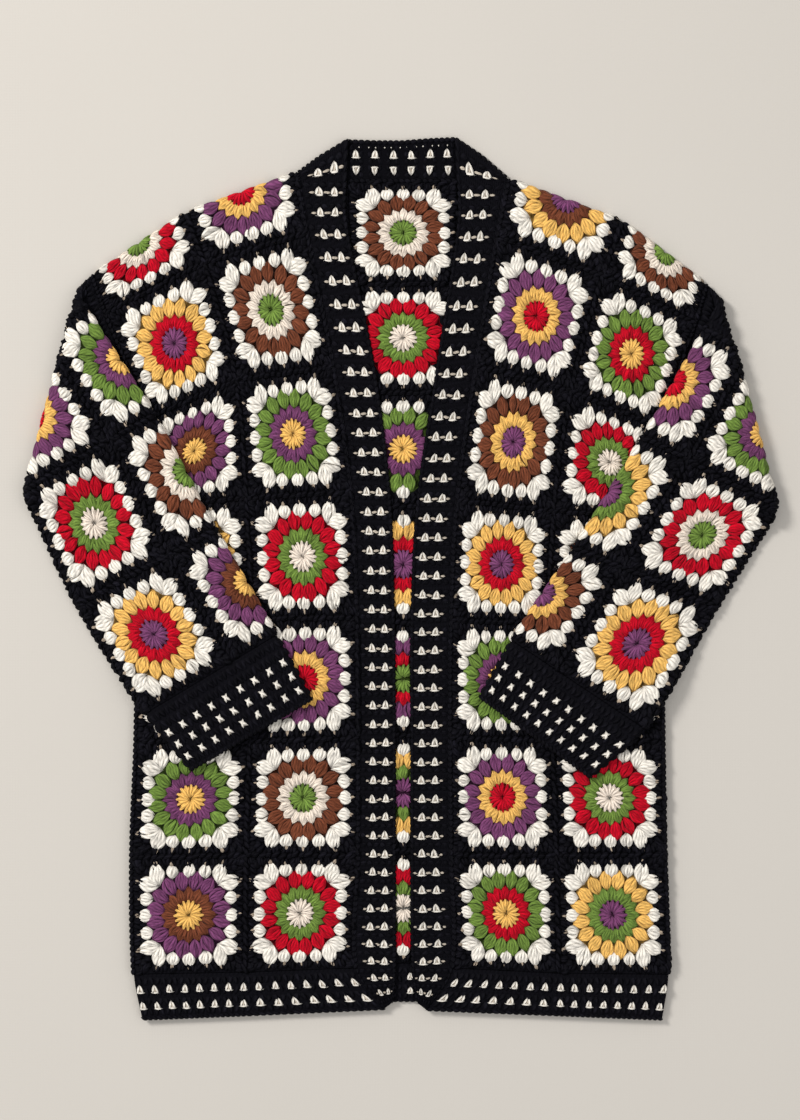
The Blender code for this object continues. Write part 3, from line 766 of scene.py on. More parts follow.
# %% Ground pieces
GROUND_STEP, BAND_STEP, HEM_STEP, NECK_STEP = 0.045, 0.06, 0.05, 0.1
PAINT_SHADE, GAP_SHADE = 0.8, 0.2        # how light the rounds are where they show, and in gaps
STITCHED = {"back": [(0, row) for row in range(7)]}
for side, sign in SIGNS.items():
    STITCHED[side + "_front"] = [(column, row) for column in (sign, 2 * sign) for row in range(7)]
    STITCHED[side + "_sleeve"] = [(column, row) for column in (0, 1) for row in range(3)]


def ground_colours(panel, across, down, outer_side):
    """Colours of the rounds, and facts: is it a square, how light is it, and is it bare."""
    colours, here = square_colours(SQUARES.get(panel, {}), across, down)
    column, row = np.floor(across + 0.5).astype(int), np.floor(down).astype(int)
    covered = np.zeros(len(across), bool)
    for spot in STITCHED.get(panel, ()):
        covered |= (column == spot[0]) & (row == spot[1])
    covered &= outer_side
    facts = np.stack([here, np.where(covered, GAP_SHADE, PAINT_SHADE), ~covered], axis=-1)
    return {"outer": colours[0], "middle": colours[1], "inner": colours[2], "facts": facts}


def skins(panel, across, down, rise, wrap=False):
    """The two skins of a wall over one grid, joined where they meet: points, faces, map values and
    colours. They stand WALL / 2 * rise over and under the wall's middle."""
    u, v = (np.tile(lines.ravel(), 2) for lines in np.meshgrid(across, down))
    half, size = WALL / 2 * rise.ravel(), rise.size
    faces = [grid_quads(len(down), len(across), shift, shift > 0, wrap) for shift in (0, size)]
    points = places[panel](u, v, np.concatenate([WALL / 2 + half, WALL / 2 - half]))
    points, faces, (u, v, outer) = merged(points, np.concatenate(faces), u, v, np.arange(2 * size) < size)
    return (points, faces_turned_out(points, faces), np.stack([u, v], axis=-1),
            ground_colours(panel, u, v, outer))


def ground_piece(name, panel, walls):
    """One piece from the skins of one or more walls."""
    points, blocks, uv, tints = zip(*walls)
    starts = np.cumsum([0] + [len(block) for block in points])
    faces = [np.concatenate([block[k] + start for block, start in zip(blocks, starts)]) for k in (0, 1)]
    colours = {key: np.concatenate([tint[key] for tint in tints]) for key in tints[0]}
    make_piece(name, np.concatenate(points), [block for block in faces if len(block)], np.concatenate(uv),
               colours, GROUND_WOOL, [panel])


def ground_wall(name, panel, spans, step=GROUND_STEP):
    """A wall over one or more spans of the cut: (across from, to, down from, to)."""
    walls = []
    for left, right, top, bottom in spans:
        across, down = grid_lines(left, right, step), grid_lines(top, bottom, step)
        rise = np.outer(edge_rise(down, top, bottom), edge_rise(across, left, right))
        walls.append(skins(panel, across, down, rise))
    ground_piece(name, panel, walls)


def ground_tube(name, panel, top, bottom):
    """A flattened tube: an outer and an inner skin that meet in rounded ends. Its grid is closer
    round the two folds."""
    fine = np.linspace(-1, 1, 9) * FOLD_SHARE
    around = np.unique(np.round(np.concatenate(
        [np.arange(UNDER_MIDDLE - 3, UNDER_MIDDLE, GROUND_STEP), fine, fine + UNDERARM_FOLD]), 5))
    around = around[around < UNDER_MIDDLE - 1e-6]
    down = grid_lines(top, bottom, GROUND_STEP * 0.8)
    rise = np.outer(edge_rise(down, top, bottom), np.ones(len(around)))
    ground_piece(name, panel, [skins(panel, around, down, rise, wrap=True)])


front_columns = {side: sorted((BAND_SEAM * sign, SIDE_SEAM * sign)) for side, sign in SIGNS.items()}
for side in SIGNS:
    ground_wall(side + "_front_ground", side + "_front", [(*front_columns[side], 0, HEM_ROW)])
ground_wall("back_ground", "back", [(-SIDE_SEAM, SIDE_SEAM, FIRST_ROW, HEM_ROW),
                                    (-BAND_SEAM, BAND_SEAM, 0, FIRST_ROW)], BAND_STEP)
for side in SIGNS:
    ground_tube(side + "_sleeve_ground", side + "_sleeve", ARMHOLE_ROW, CUFF_ROW)

# %% Ground of the bands, hems and cuffs
for side in SIGNS:
    ground_wall(side + "_band_ground", side + "_front_band", [(0, 1, FOLD_ROW, END_ROW)], step=BAND_STEP)
ground_wall("neck_band_ground", "neck_band", [(0, 1, 0, NECK_STATIONS[-1][0])], step=NECK_STEP)
for side in SIGNS:
    ground_wall(side + "_hem_ground", side + "_front_hem", [(*front_columns[side], HEM_ROW, END_ROW)])
ground_wall("back_hem_ground", "back_hem", [(-SIDE_SEAM, SIDE_SEAM, HEM_ROW, END_ROW)], step=HEM_STEP)
for side in SIGNS:
    ground_tube(side + "_cuff_ground", side + "_cuff", CUFF_ROW, CUFF_END)

# %% [markdown]
# ## Stitches
#
# A crochet stitch seen from above is a bundle of strands. One strand is a spindle: it runs from a
# base to a tip, bows sideways and rises in its middle, and its thickness follows a sine. Bundles of
# spindles make the centre's spokes, the petals, the leaves and the cream clusters.

# %% Spindles
RNG = np.random.default_rng(7)


class Bundle:
    """A list of spindles in the local frame of a square, where half a square is 1."""

    def __init__(self):
        self.rows = []

    def add(self, base, tip, bow, width, level, rise, tint=0):
        """One strand. Level and rise are metres over the wall; the rest is in the square's frame."""
        self.rows.append((*base, *tip, bow, width, level, rise, tint))

    def fan(self, base, tip, bows, width, level, rise, tint, spread=0.0):
        """Strands from one base to nearly one tip. The outer ones bow more and rise less."""
        run = np.subtract(tip, base)
        side = np.array([-run[1], run[0]]) / np.hypot(*run)
        widest = max(map(abs, bows)) + 1e-9
        for bow in bows:
            self.add(base, np.add(tip, side * bow * spread), bow, width, level,
                     rise * (1 - 0.25 * abs(bow) / widest), tint)

    def arrays(self):
        """The strands as a table, and the list of their tints. The table's eight columns are base x
        and y, tip x and y, bow, width, level and rise."""
        return np.array([row[:8] for row in self.rows]), [row[8] for row in self.rows]


def spindle_mesh(base, tip, bow, width, level, rise, colour, place, rings=5, sides=5, twist=9 * MM):
    """Points, faces, map values and colours of many spindles, given in squares and metres.

    A strand's middle line is base + (tip - base) s + side bow sin(pi s); its half width is
    width sin(pi s^1.1)^0.6 and its half height the same in metres; it rises by rise sin(pi s)."""
    count = len(base)
    s = np.linspace(0, 1, rings + 2)[None, :]
    run = tip - base
    length = np.linalg.norm(run, axis=-1, keepdims=True)
    side = np.stack([-run[:, 1], run[:, 0]], axis=-1) / length
    bell = np.sin(math.pi * s)
    thick = np.clip(np.sin(math.pi * s ** 1.1), 0, 1) ** 0.6
    middle = base[:, None] + run[:, None] * s[..., None] + side[:, None] * (bow[:, None] * bell)[..., None]
    angle = -math.pi / 2 + 2 * math.pi * np.arange(sides) / sides
    lateral = (width[:, None] * thick)[..., None] * np.cos(angle)
    raised = (width[:, None] * thick * SQUARE * 0.9)[..., None] * np.sin(angle)
    plan = middle[:, :, None] + side[:, None, None] * lateral[..., None]
    height = (level[:, None] + rise[:, None] * bell)[..., None] + raised
    ring = slice(1, rings + 1)
    u = np.concatenate([plan[:, ring, :, 0].reshape(count, -1), middle[:, [0, -1], 0]], axis=1)
    v = np.concatenate([plan[:, ring, :, 1].reshape(count, -1), middle[:, [0, -1], 1]], axis=1)
    h = np.concatenate([height[:, ring].reshape(count, -1), height[:, [0, -1]].mean(axis=-1)], axis=1)
    each = rings * sides + 2
    along = np.broadcast_to((s[:, ring, None] * length[..., None] * SQUARE / twist), (count, rings, sides))
    around = np.broadcast_to(np.arange(sides) / sides, (count, rings, sides))
    ends = np.zeros((count, 2))
    ends[:, 1] = length[:, 0] * SQUARE / twist
    uv = np.stack([np.concatenate([along.reshape(count, -1), ends], axis=1),
                   np.concatenate([around.reshape(count, -1), np.full((count, 2), 0.5)], axis=1)], axis=-1)
    quads = np.roll(grid_quads(rings, sides, flip=True, wrap=True), 1, axis=1)
    j = np.arange(sides)
    after = (j + 1) % sides
    first, last = rings * sides, rings * sides + 1
    caps = np.concatenate([np.stack([np.full(sides, first), after, j], axis=-1),
                           np.stack([np.full(sides, last), (rings - 1) * sides + j,
                                     (rings - 1) * sides + after], axis=-1)])
    shift = (np.arange(count) * each)[:, None, None]
    colour = colour / np.maximum(colour.max(axis=1, keepdims=True), 1.0)
    points = place(u.ravel(), v.ravel(), h.ravel())
    points[:, 2] = np.maximum(points[:, 2], 0.0)
    faces = [(quads[None] + shift).reshape(-1, 4), (caps[None] + shift).reshape(-1, 3)]
    return points, faces_turned_out(points, faces), uv.reshape(-1, 2), np.repeat(colour, each, axis=0)


# %% [markdown]
# ### The rounds of one square
#
# The bundles below are one square, looked at from its outer side: sixteen spokes, sixteen petals,
# sixteen leaves that sit between the petals, twelve cream clusters and four cream corners, and the
# thin ends of the cream yarn that show between the black stitches. The order is the hook's: each
# round stands on the one inside it, so its feet are hidden under that round's tips.

# %% One square
LEAVES, PETALS, CENTRE, CREAM, TAILS = range(5)
SPOKES = 16
CENTRE_LIGHT = 1.10             # a centre's loops stand up and catch more light


def turned(radius, angle):
    """The point at this distance from the centre, angle radians from the x axis."""
    return np.array([math.cos(angle), math.sin(angle)]) * radius


def quarter_turn(quarter):
    """The matrix that turns points by so many quarters of a full turn."""
    spin = quarter * math.pi / 2
    return np.array([[math.cos(spin), -math.sin(spin)], [math.sin(spin), math.cos(spin)]])


def square_bundle():
    """Strands of one square: a table of numbers, and for each strand the round that it is in."""
    bundle = Bundle()
    step = 2 * math.pi / SPOKES
    for k in range(SPOKES):
        angle = k * step
        bundle.add(turned(0.015, angle), turned(0.290, angle), 0.0, 0.0175, 1.0 * MM, 0.45 * MM, CENTRE)
        bundle.fan(turned(0.20, angle), turned(0.495, angle), (-0.047, 0.0, 0.047), 0.0195, 0.25 * MM,
                   0.85 * MM, PETALS)
        angle += step / 2
        bundle.add(turned(0.05, angle), turned(0.225, angle), 0.0, 0.0165, 0.8 * MM, 0.35 * MM, CENTRE)
        bundle.add(turned(0.22, angle), turned(0.43, angle), 0.0, 0.019, 0.15 * MM, 0.7 * MM, PETALS)
        bundle.fan(turned(0.40, angle), turned(0.775, angle), (-0.083, -0.028, 0.028, 0.083), 0.0215,
                   0.0, 1.0 * MM, LEAVES)
    for quarter in range(4):
        turn = quarter_turn(quarter)
        for x in (-0.295, 0.0, 0.295):
            reach = 0.895 if x == 0 else 0.875
            bundle.fan(turn @ (x * 0.97, 0.61), turn @ (x, reach), (-0.075, -0.026, 0.026, 0.075),
                       0.0225, 0.1 * MM, 1.15 * MM, CREAM, spread=0.25)
            bundle.add(turn @ (x, reach - 0.06), turn @ (x * 1.02, reach + 0.047), 0.0, 0.019,
                       0.4 * MM, 0.3 * MM, TAILS)
        for tip in ((0.585, 0.905), (0.905, 0.585)):
            bundle.fan(turn @ (0.505, 0.505), turn @ tip, (-0.088, -0.030, 0.030, 0.088), 0.0265,
                       0.1 * MM, 1.25 * MM, CREAM, spread=0.12)
            bundle.add(turn @ np.multiply(tip, 0.94), turn @ np.multiply(tip, 1.042), 0.0, 0.019,
                       0.4 * MM, 0.3 * MM, TAILS)
    return bundle.arrays()


SQUARE_TABLE, SQUARE_TINTS = square_bundle()
print("one square has", len(SQUARE_TINTS), "strands")


def set_down(table, column, row):
    """Strands of a square's own frame, moved to their square of a panel: x 0 and y 0 fall on the
    square's middle, and y turns round, because a panel is counted downwards."""
    table[:, :4] *= 0.5
    table[:, [1, 3]] *= -1
    table[:, [0, 2]] += column
    table[:, [1, 3]] += row + 0.5
    table[:, 4:6] *= (-0.5, 1.0)
    return table


def middles(table):
    """Places of the strands' middles in the cut, across and down."""
    return (table[:, 0] + table[:, 2]) / 2, (table[:, 1] + table[:, 3]) / 2


def strands_of_squares(panel, keep):
    """The square's bundle at each stitched spot of a panel, slightly uneven, where keep shows it."""
    rows, tints = [], []
    for column, row in STITCHED[panel]:
        # no stitch is like its neighbour: ends, bows, widths, heights and tones all differ a little
        table = SQUARE_TABLE.copy()
        uneven = RNG.normal(size=table.shape)
        table[:, :4] += uneven[:, :4] * 0.008
        table[:, 4] += uneven[:, 4] * 0.006
        table[:, 5] *= 1.05 + uneven[:, 5] * 0.07
        table[:, 7] *= 1 + uneven[:, 7] * 0.22
        names = ["inner cream" if name == "cream" else name for name in SQUARES[panel][column][row].split()]
        names += ["cream", "shade"]
        tint = np.array([YARN[names[k]] for k in SQUARE_TINTS])
        tint = tint * (1 + RNG.normal(size=(len(table), 1)) * 0.13)
        tint[np.equal(SQUARE_TINTS, CENTRE)] *= CENTRE_LIGHT
        rows.append(set_down(table, column, row))
        tints.append(tint)
    table, tint = np.concatenate(rows), np.concatenate(tints)
    kept = keep(*middles(table))
    return table[kept], tint[kept]


def stitch_piece(name, strands, place, rings=5, sides=5, wool=WOOL):
    """A piece made of strands: their table and their tints."""
    table, tint = strands
    points, faces, uv, colours = spindle_mesh(table[:, :2], table[:, 2:4], table[:, 4], table[:, 5],
                                              WALL + table[:, 6], table[:, 7], tint, place, rings, sides)
    make_piece(name, points, faces, uv, {"colour": colours}, wool)


# %% [markdown]
# ### Stitching the panels
#
# Each panel takes its bundles through its own place function, so the petals follow the fold at the
# shoulder and the roll of the sleeve. Only what shows is stitched: a front where no sleeve lies on
# it, the back between the two front bands, and the half of a sleeve that ends up outside, as far
# as the crease hides it. The rest keeps its painted ground.

# %% Colour stitches of the panels
PANELS = ("right_front", "left_front", "back", "right_sleeve", "left_sleeve")


def under_bands(across, down):
    """Where the back's middle column lies clear of the two front bands."""
    plan = back_plan(across, down)
    rows = np.linspace(FOLD_ROW, END_ROW, 200)
    inside = np.ones(len(plan), bool)
    for side, sign in SIGNS.items():
        edge = front_line(FRONT_ROWS[side], 3, rows)
        order = np.argsort(edge[:, 1])
        limit = np.interp(plan[:, 1], edge[order, 1], edge[order, 0])
        inside &= (limit - plan[:, 0]) * sign > 1.0 * MM
    return inside


def inside_outline(points, outline):
    """Whether each point lies inside a closed outline: it does if a line to the right of it
    crosses the outline an odd number of times."""
    x, y = points[:, :1], points[:, 1:]
    ax, ay = outline[:, 0], outline[:, 1]
    bx, by = np.roll(ax, -1), np.roll(ay, -1)
    crossed = ((ay > y) != (by > y)) & (x < ax + (bx - ax) * (y - ay) / np.where(by == ay, 1, by - ay))
    return crossed.sum(axis=1) % 2 == 1


def on_front(side, margin=0.10):
    """A test for what shows of a front: all but what lies inside the turned sleeve's outline, which
    is drawn a little inside the sleeve's two folds and its cuff."""
    down = np.linspace(ARMHOLE_ROW, CUFF_END - margin, 40)
    edges = [places[side + "_sleeve"](across, down, WALL)[:, :2]
             for across in (margin, UNDERARM_FOLD - margin)]
    outline = np.concatenate([edges[0], edges[1][::-1]])
    return lambda across, down: ((down > FOLD_ROW - 0.01)
                                 & ~inside_outline(front_plan(FRONT_ROWS[side], across, down), outline))


def on_top(across):
    """Whether points lie on the half of a sleeve between its two folds that is above."""
    return (across > -0.02) & (across < UNDERARM_FOLD + 0.02)


def on_sleeve(side, share=0.6):
    """A test for what shows of a sleeve's upper half: up to this share of the way round the crease."""
    return lambda across, down: on_top(across) & ~places[side + "_sleeve"].past(share, across, down)


shown = {"back": under_bands}
for side in SIGNS:
    shown[side + "_front"] = on_front(side)
    shown[side + "_sleeve"] = on_sleeve(side)
for panel in PANELS:
    stitch_piece(panel + "_rounds", strands_of_squares(panel, shown[panel]), places[panel])

# %% [markdown]
# ### The black round and the seams
#
# Around the cream runs a round of black posts, each a pair of strands that leans to the edge, with
# short strands in the corners. Where two squares meet they are sewn together with slanted whip
# stitches that stand up as a ridge. On the long edges a rope of slip stitches closes the panel.

# %% Black stitches
def border_bundle():
    """Strands of one square's black round, and the whip stitches of two of its seams. The squares
    next to it add those of its other two. A post's two strands lean the same way; three leans
    take turns, so that the posts don't look like a comb."""
    bundle = Bundle()
    for quarter in range(4):
        turn = quarter_turn(quarter)
        for k, x in enumerate(np.linspace(-0.93, 0.93, 13)):
            lean = (-0.035, 0.0, 0.035)[k % 3]
            for leg in (-0.034, 0.034):
                foot, tip = (x * 0.95 - lean + leg * 1.2, 0.80), (x * 1.02 + lean + leg * 0.6, 0.985)
                bundle.add(turn @ foot, turn @ tip, 0.015 - 0.03 * (k % 2), 0.026, -0.45 * MM, 0.95 * MM)
        for x in (-0.62, -0.43, -0.15, 0.15, 0.43, 0.62):
            bundle.add(turn @ (x * 0.94, 0.70), turn @ (x, 0.90), 0.02, 0.032, -0.8 * MM, 0.7 * MM)
        for x in (0.66, 0.75, 0.84):
            bundle.add(turn @ (x, x), turn @ (x + 0.15, x + 0.09), 0.02, 0.036, -0.5 * MM, 0.8 * MM)
    for quarter in (0, 3):
        turn = quarter_turn(quarter)
        for x in np.linspace(-0.95, 0.95, 17):
            bundle.add(turn @ (x - 0.085, 0.955), turn @ (x + 0.085, 1.045), 0.0, 0.024, 0.7 * MM, 1.0 * MM)
    return bundle.arrays()[0]


BORDER_TABLE = border_bundle()


def black_tint(count):
    """Black yarn, some strands a little lighter than others."""
    return np.array(YARN["black"]) * (1 + np.abs(RNG.normal(size=(count, 1))) * 0.6)


def borders_of_squares(panel, limits, keep):
    """The black stitches at each spot; limits are the lines of the cut that no stitch crosses."""
    rows = []
    for column, row in STITCHED[panel]:
        table = BORDER_TABLE.copy()
        table[:, :4] += RNG.normal(size=(len(table), 4)) * 0.016
        table[:, 7] *= 1 + RNG.normal(size=len(table)) * 0.2
        rows.append(set_down(table, column, row))
    table = np.concatenate(rows)
    left, right, top, bottom = limits
    across, down = table[:, [0, 2]], table[:, [1, 3]]
    inside = ((across.min(axis=1) > left - 0.02) & (across.max(axis=1) < right + 0.02)
              & (down.min(axis=1) > top - 0.02) & (down.max(axis=1) < bottom + 0.02))
    inside &= keep(*middles(table))
    return table[inside], black_tint(inside.sum())


def strand_table(base, tip, width, level, rise):
    """Straight strands from arrays of their bases and tips."""
    table = np.zeros((len(base), 8))
    table[:, :2], table[:, 2:4] = base, tip
    table[:, 5], table[:, 6], table[:, 7] = width, level, rise
    return table


def edge_rope(start, stop, level=-0.9 * MM, width=0.019, pitch=0.05):
    """Slip stitches along a straight line of the cut, each lying a little across it."""
    start, stop = np.array(start, float), np.array(stop, float)
    length = np.linalg.norm(stop - start)
    run = (stop - start) / length
    side = np.array([-run[1], run[0]])
    count = int(length / pitch)
    at = start + run * (np.arange(count) + 0.5)[:, None] * length / count
    base, tip = at - run * pitch * 0.7 - side * 0.010, at + run * pitch * 0.7 + side * 0.010
    return strand_table(base, tip, width, level, 0.7 * MM), black_tint(count)


def crochet_rows(left, right, top, bottom, upright=True, wide=0.053, long=0.079):
    """Leaning legs in rows over a rectangle of the cut. Upright legs make rows that run across it;
    the others lie across and make rows that run down it."""
    columns, rows = max(int((right - left) / wide), 1), max(int((bottom - top) / long), 1)
    u, v = np.meshgrid((np.arange(columns) + 0.5) / columns * (right - left) + left,
                       (np.arange(rows) + 0.5) / rows * (bottom - top) + top)
    lean = np.where(np.indices(u.shape).sum(axis=0) % 2 == 0, 1.0, -1.0).ravel() * 0.014
    at = np.stack([u.ravel(), v.ravel()], axis=-1)
    length = np.full(len(at), (long if upright else wide) * 0.62)
    reach = np.stack([lean, length] if upright else [length, lean], axis=-1)
    table = strand_table(at - reach, at + reach, 0.027, -1.2 * MM, 0)
    table[:, :4] += RNG.normal(size=(len(at), 4)) * 0.003
    table[:, 7] = (0.85 + RNG.normal(size=len(at)) * 0.12) * MM
    return table, black_tint(len(at))


def joined(*parts):
    """Several pairs of a table and its tints as one."""
    return [np.concatenate(arrays) for arrays in zip(*parts)]


def kept_on(keep, strands):
    """Only the strands whose middles the panel shows."""
    table, tint = strands
    kept = keep(*middles(table))
    return table[kept], tint[kept]


def black_piece(name, strands, place):
    """A piece of black strands, with few sides, because little of their shape can be seen."""
    stitch_piece(name, strands, place, 3, 4, BLACK_WOOL)


def front_border(side, sign):
    """Posts and seams of a front, and a rope of slip stitches down both its edges."""
    panel = side + "_front"
    posts = borders_of_squares(panel, (*front_columns[side], FOLD_ROW, HEM_ROW), shown[panel])
    ropes = [kept_on(shown[panel], edge_rope((sign * at, FOLD_ROW), (sign * at, HEM_ROW), -0.5 * MM, 0.024))
             for at in (BAND_SEAM + 0.005, SIDE_SEAM)]
    black_piece(panel + "_border", joined(posts, *ropes), places[panel])


def sleeve_border(side):
    """Posts and seams of a sleeve, and the rows between its squares and the armhole. Past the crease
    the sleeve's other half comes out on top, so the rows go on there."""
    panel = side + "_sleeve"
    keep = on_sleeve(side, 0.75)
    posts = borders_of_squares(panel, (-0.05, 1.6, -0.05, CUFF_ROW), keep)
    rows = crochet_rows(-0.02, UNDERARM_FOLD, ARMHOLE_ROW, 0.03, wide=0.05, long=0.07)
    under = joined(*(crochet_rows(left, right, ARMHOLE_ROW, 0.12, wide=0.05, long=0.07)
                     for left, right in ((UNDER_MIDDLE - 3, 0.0), (UNDERARM_FOLD, UNDER_MIDDLE))))
    ropes = joined(*(edge_rope((at, ARMHOLE_ROW), (at, CUFF_ROW), -0.7 * MM, 0.022)
                     for at in (0.0, UNDERARM_FOLD)))
    under = kept_on(lambda across, down: ~on_top(across) & places[panel].past(0.45, across, down), under)
    black_piece(panel + "_border", joined(posts, kept_on(keep, rows), under, kept_on(keep, ropes)),
                places[panel])


for side, sign in SIGNS.items():
    front_border(side, sign)
black_piece("back_border", borders_of_squares("back", (-0.6, 0.6, 0, HEM_ROW), under_bands), lay_back)
for side in SIGNS:
    sleeve_border(side)

# %% [markdown]
# ### Cream stitches on bands, hems and cuffs
#
# The bands are plain black crochet with a pattern of single cream stitches. On the bands and hems
# each is two legs that lean together over a bar, and there are two rows of them; round the cuffs
# run three rows of crosses. A short stem in painted shade darkens the middle of each stitch. On the
# front bands the yarn also shows for a moment on both sides of a stitch, where it goes on under the
# black, also in painted shade, and the rows lie level though the bands slant. Along the neck's edge
# lie a few small dots of the cream yarn.

# %% Cream stitches
BAND_WIDTH = 0.34               # of a band, in squares
STATION = 0.245                 # of the neck band, in squares
TURN_ROW, TURN_LENGTH = 6.9, 0.5  # where level rows begin to follow the hem's corner
FADE_LENGTH, SLOPE_STEP = 0.2, 0.01
ACROSS = (1.0, 0.0)
SHADED_YARN = 1                      # tint of the strands that lie deeper: cream yarn in painted shade


def cream_stitches(spots, thread=None, up=(0.0, -1.0), wide=0.023, tall=0.050, lean=0.0, thick=0.0125):
    """At each spot two short legs, a bar over their feet and, where a direction is given for it, a
    thread that shows on both sides. The legs stand 2 wide apart at their feet and lean times that
    at their tops, so lean 0 is a point, which looks up, and lean -1 a cross."""
    bundle = Bundle()
    up = np.array(up)
    side = np.array([-up[1], up[0]])
    bar = side * wide * (1.9 if lean == 0 else 0.7)
    sunk = -up * tall * (0.42 if lean == 0 else 0.0)
    for spot in spots:
        centre = np.array(spot) + RNG.normal(size=2) * 0.0025
        peak = centre + up * tall + side * RNG.normal() * 0.005
        for sign in (1, -1):
            foot = centre + side * sign * (wide + RNG.normal() * 0.003) - up * tall * 0.72
            bundle.add(peak + side * sign * wide * lean, foot, -sign * 0.004, thick, 0.5 * MM, 0.9 * MM)
        # painted shade: the stem is cream yarn in shade, so the hole in the stitch's middle shows as a
        # darker dot
        stem = up * tall * 0.75
        bundle.add(centre + stem, centre - stem, 0.0, 0.012, 0.2 * MM, 0.6 * MM, SHADED_YARN)
        bundle.add(centre + bar + sunk, centre - bar + sunk, 0.0, 0.0110, 0.5 * MM, 0.85 * MM)
        # painted shade: the thread on both sides is cream yarn in shade, as it goes on under the black
        for sign in (1, -1) if thread is not None else ():
            near, far = (centre + np.multiply(thread, sign * away) for away in (0.026, 0.074))
            bundle.add(near, far, 0.0, 0.0115, 0.3 * MM, 0.4 * MM, SHADED_YARN)
    table, tints = bundle.arrays()
    colours = np.array([YARN["thread" if tint == SHADED_YARN else "cream"] for tint in tints])
    return table, colours * (1 + RNG.normal(size=(len(table), 1)) * 0.05)


def edge_dots(across, first, last, count):
    """Small dots of cream yarn between the slip stitches of an edge, in pairs."""
    down = np.linspace(first, last, count) + 0.012 * (np.arange(count) % 2)
    base, tip = (np.stack([np.full(count, across + reach), down], axis=-1) for reach in (-0.008, 0.008))
    return strand_table(base, tip, 0.007, 0.6 * MM, 0.6 * MM), np.tile(YARN["cream"], (count, 1))


def scaled(place, wide=1.0, long=1.0):
    """A place function that takes squares in both directions, for a strip whose own one takes
    shares of its width or numbers of its stations."""
    return lambda across, down, height: place(np.asarray(across) / wide, np.asarray(down) / long, height)


def level_rows(place):
    """Place function of a band whose rows lie level: each point slides along the band until it is
    as far up as the middle of its row. Near the shoulder's fold and near the hem's corner the slide
    fades out, and beyond the band's ends its lines are taken to run on straight."""
    def level(across, down, height):
        across, down, height = floats(across, down, height)
        inner = np.clip(down, FOLD_ROW, END_ROW - SLOPE_STEP)
        middle = place(np.full_like(inner, 0.5), inner, height)[..., 1]
        below = place(across, inner + SLOPE_STEP, height) - place(across, inner, height)
        slope = below[..., 1] / SLOPE_STEP
        moved = inner
        for _ in range(4):
            kept = np.clip(moved, FOLD_ROW, END_ROW)
            here = place(across, kept, height)[..., 1] + slope * (moved - kept)
            moved = moved - (here - middle) / slope
        share = np.minimum((TURN_ROW - down) / TURN_LENGTH, (down - FOLD_ROW) / FADE_LENGTH)
        return place(across, down + (moved - inner) * np.clip(share, 0, 1), height)
    return level


def fleck_piece(name, strands, place):
    """A piece of the small cream stitches."""
    stitch_piece(name, strands, place, 3, 5)


level_places = {side: scaled(level_rows(places[side + "_front_band"]), BAND_WIDTH) for side in SIGNS}
neck_place = scaled(lay_neck, BAND_WIDTH, STATION)
band_spots = [(line * BAND_WIDTH, at) for line in (0.40, 0.74) for at in np.arange(0.62, 7.35, 0.158)]
for side in SIGNS:
    fleck_piece(side + "_band_stitches", cream_stitches(band_spots, ACROSS, wide=0.024, tall=0.047),
                level_places[side])
outer_row, inner_row = ([(line * BAND_WIDTH, (4.35 + 0.66 * k) * STATION) for k in range(6)]
                        for line in (0.28, 0.65))
fleck_piece("neck_band_stitches", joined(
    cream_stitches(outer_row, up=(-1.0, 0.0)), cream_stitches(inner_row, up=ACROSS),
    edge_dots(0.86 * BAND_WIDTH, 4.45 * STATION, 7.6 * STATION, 12)), neck_place)

HEM_LINES, CUFF_LINES = (7.137, 7.29), (3.22, 3.335, 3.45)
for side, first, last in (("right", -2.46, -0.57), ("left", 0.57, 2.46)):
    spots = [(at, line) for line in HEM_LINES for at in np.linspace(first, last, 15)]
    fleck_piece(side + "_hem_stitches", cream_stitches(spots), places[side + "_front_hem"])
fleck_piece("back_hem_stitches", cream_stitches([(0.06, line) for line in HEM_LINES]), lay_back)
for side, count in (("right", 9), ("left", 10)):
    spots = [(at, line) for line in CUFF_LINES for at in np.linspace(0.09, 1.41, count)]
    crosses = cream_stitches(spots, wide=0.031, tall=0.038, lean=-0.9, thick=0.0175)
    fleck_piece(side + "_cuff_stitches", crosses, places[side + "_cuff"])

# %% [markdown]
# ### Black crochet of the bands
#
# The bands, hems and cuffs are rows of single crochet. One stitch is two legs that lean against each
# other; from above the rows look like low ridges with a jagged top. The free edges are finished with
# a round of slip stitches, which lie along the edge like a thin rope.

# %% Rows and edges in black
INSET, ROPE_INSET = 0.02, 0.006
HEM_GAP = 0.32                  # half of the back's hem that shows between the fronts, in squares


def strip_rows(left, right, top, bottom, inset=0.0):
    """Rows that run across a strip, inset from its two ends, and a rope along its free lower
    edge."""
    rows = crochet_rows(left + inset, right - inset, top + INSET, bottom - INSET)
    return joined(rows, edge_rope((left, bottom - ROPE_INSET), (right, bottom - ROPE_INSET)))


for side in SIGNS:
    rows = crochet_rows(INSET, BAND_WIDTH - INSET, FOLD_ROW + INSET, END_ROW - INSET, upright=False)
    ropes = [edge_rope((at, FOLD_ROW), (at, END_ROW)) for at in (ROPE_INSET, BAND_WIDTH - ROPE_INSET)]
    black_piece(side + "_band_rows", joined(rows, *ropes), level_places[side])
rows = crochet_rows(INSET, BAND_WIDTH - INSET, 4.0 * STATION, 8.0 * STATION, upright=False)
ropes = [edge_rope((at, 0.5 * STATION), (at, 11.5 * STATION), width=0.024)
         for at in (0.002, BAND_WIDTH - 0.002)]
black_piece("neck_band_rows", joined(rows, *ropes), neck_place)
for side in SIGNS:
    black_piece(side + "_hem_rows", strip_rows(*front_columns[side], HEM_ROW, END_ROW, INSET),
                places[side + "_front_hem"])
black_piece("back_hem_rows", strip_rows(-HEM_GAP, HEM_GAP, HEM_ROW, END_ROW), lay_back)
for side in SIGNS:
    black_piece(side + "_cuff_rows", strip_rows(-0.03, UNDERARM_FOLD + 0.03, CUFF_ROW, CUFF_END),
                places[side + "_cuff"])
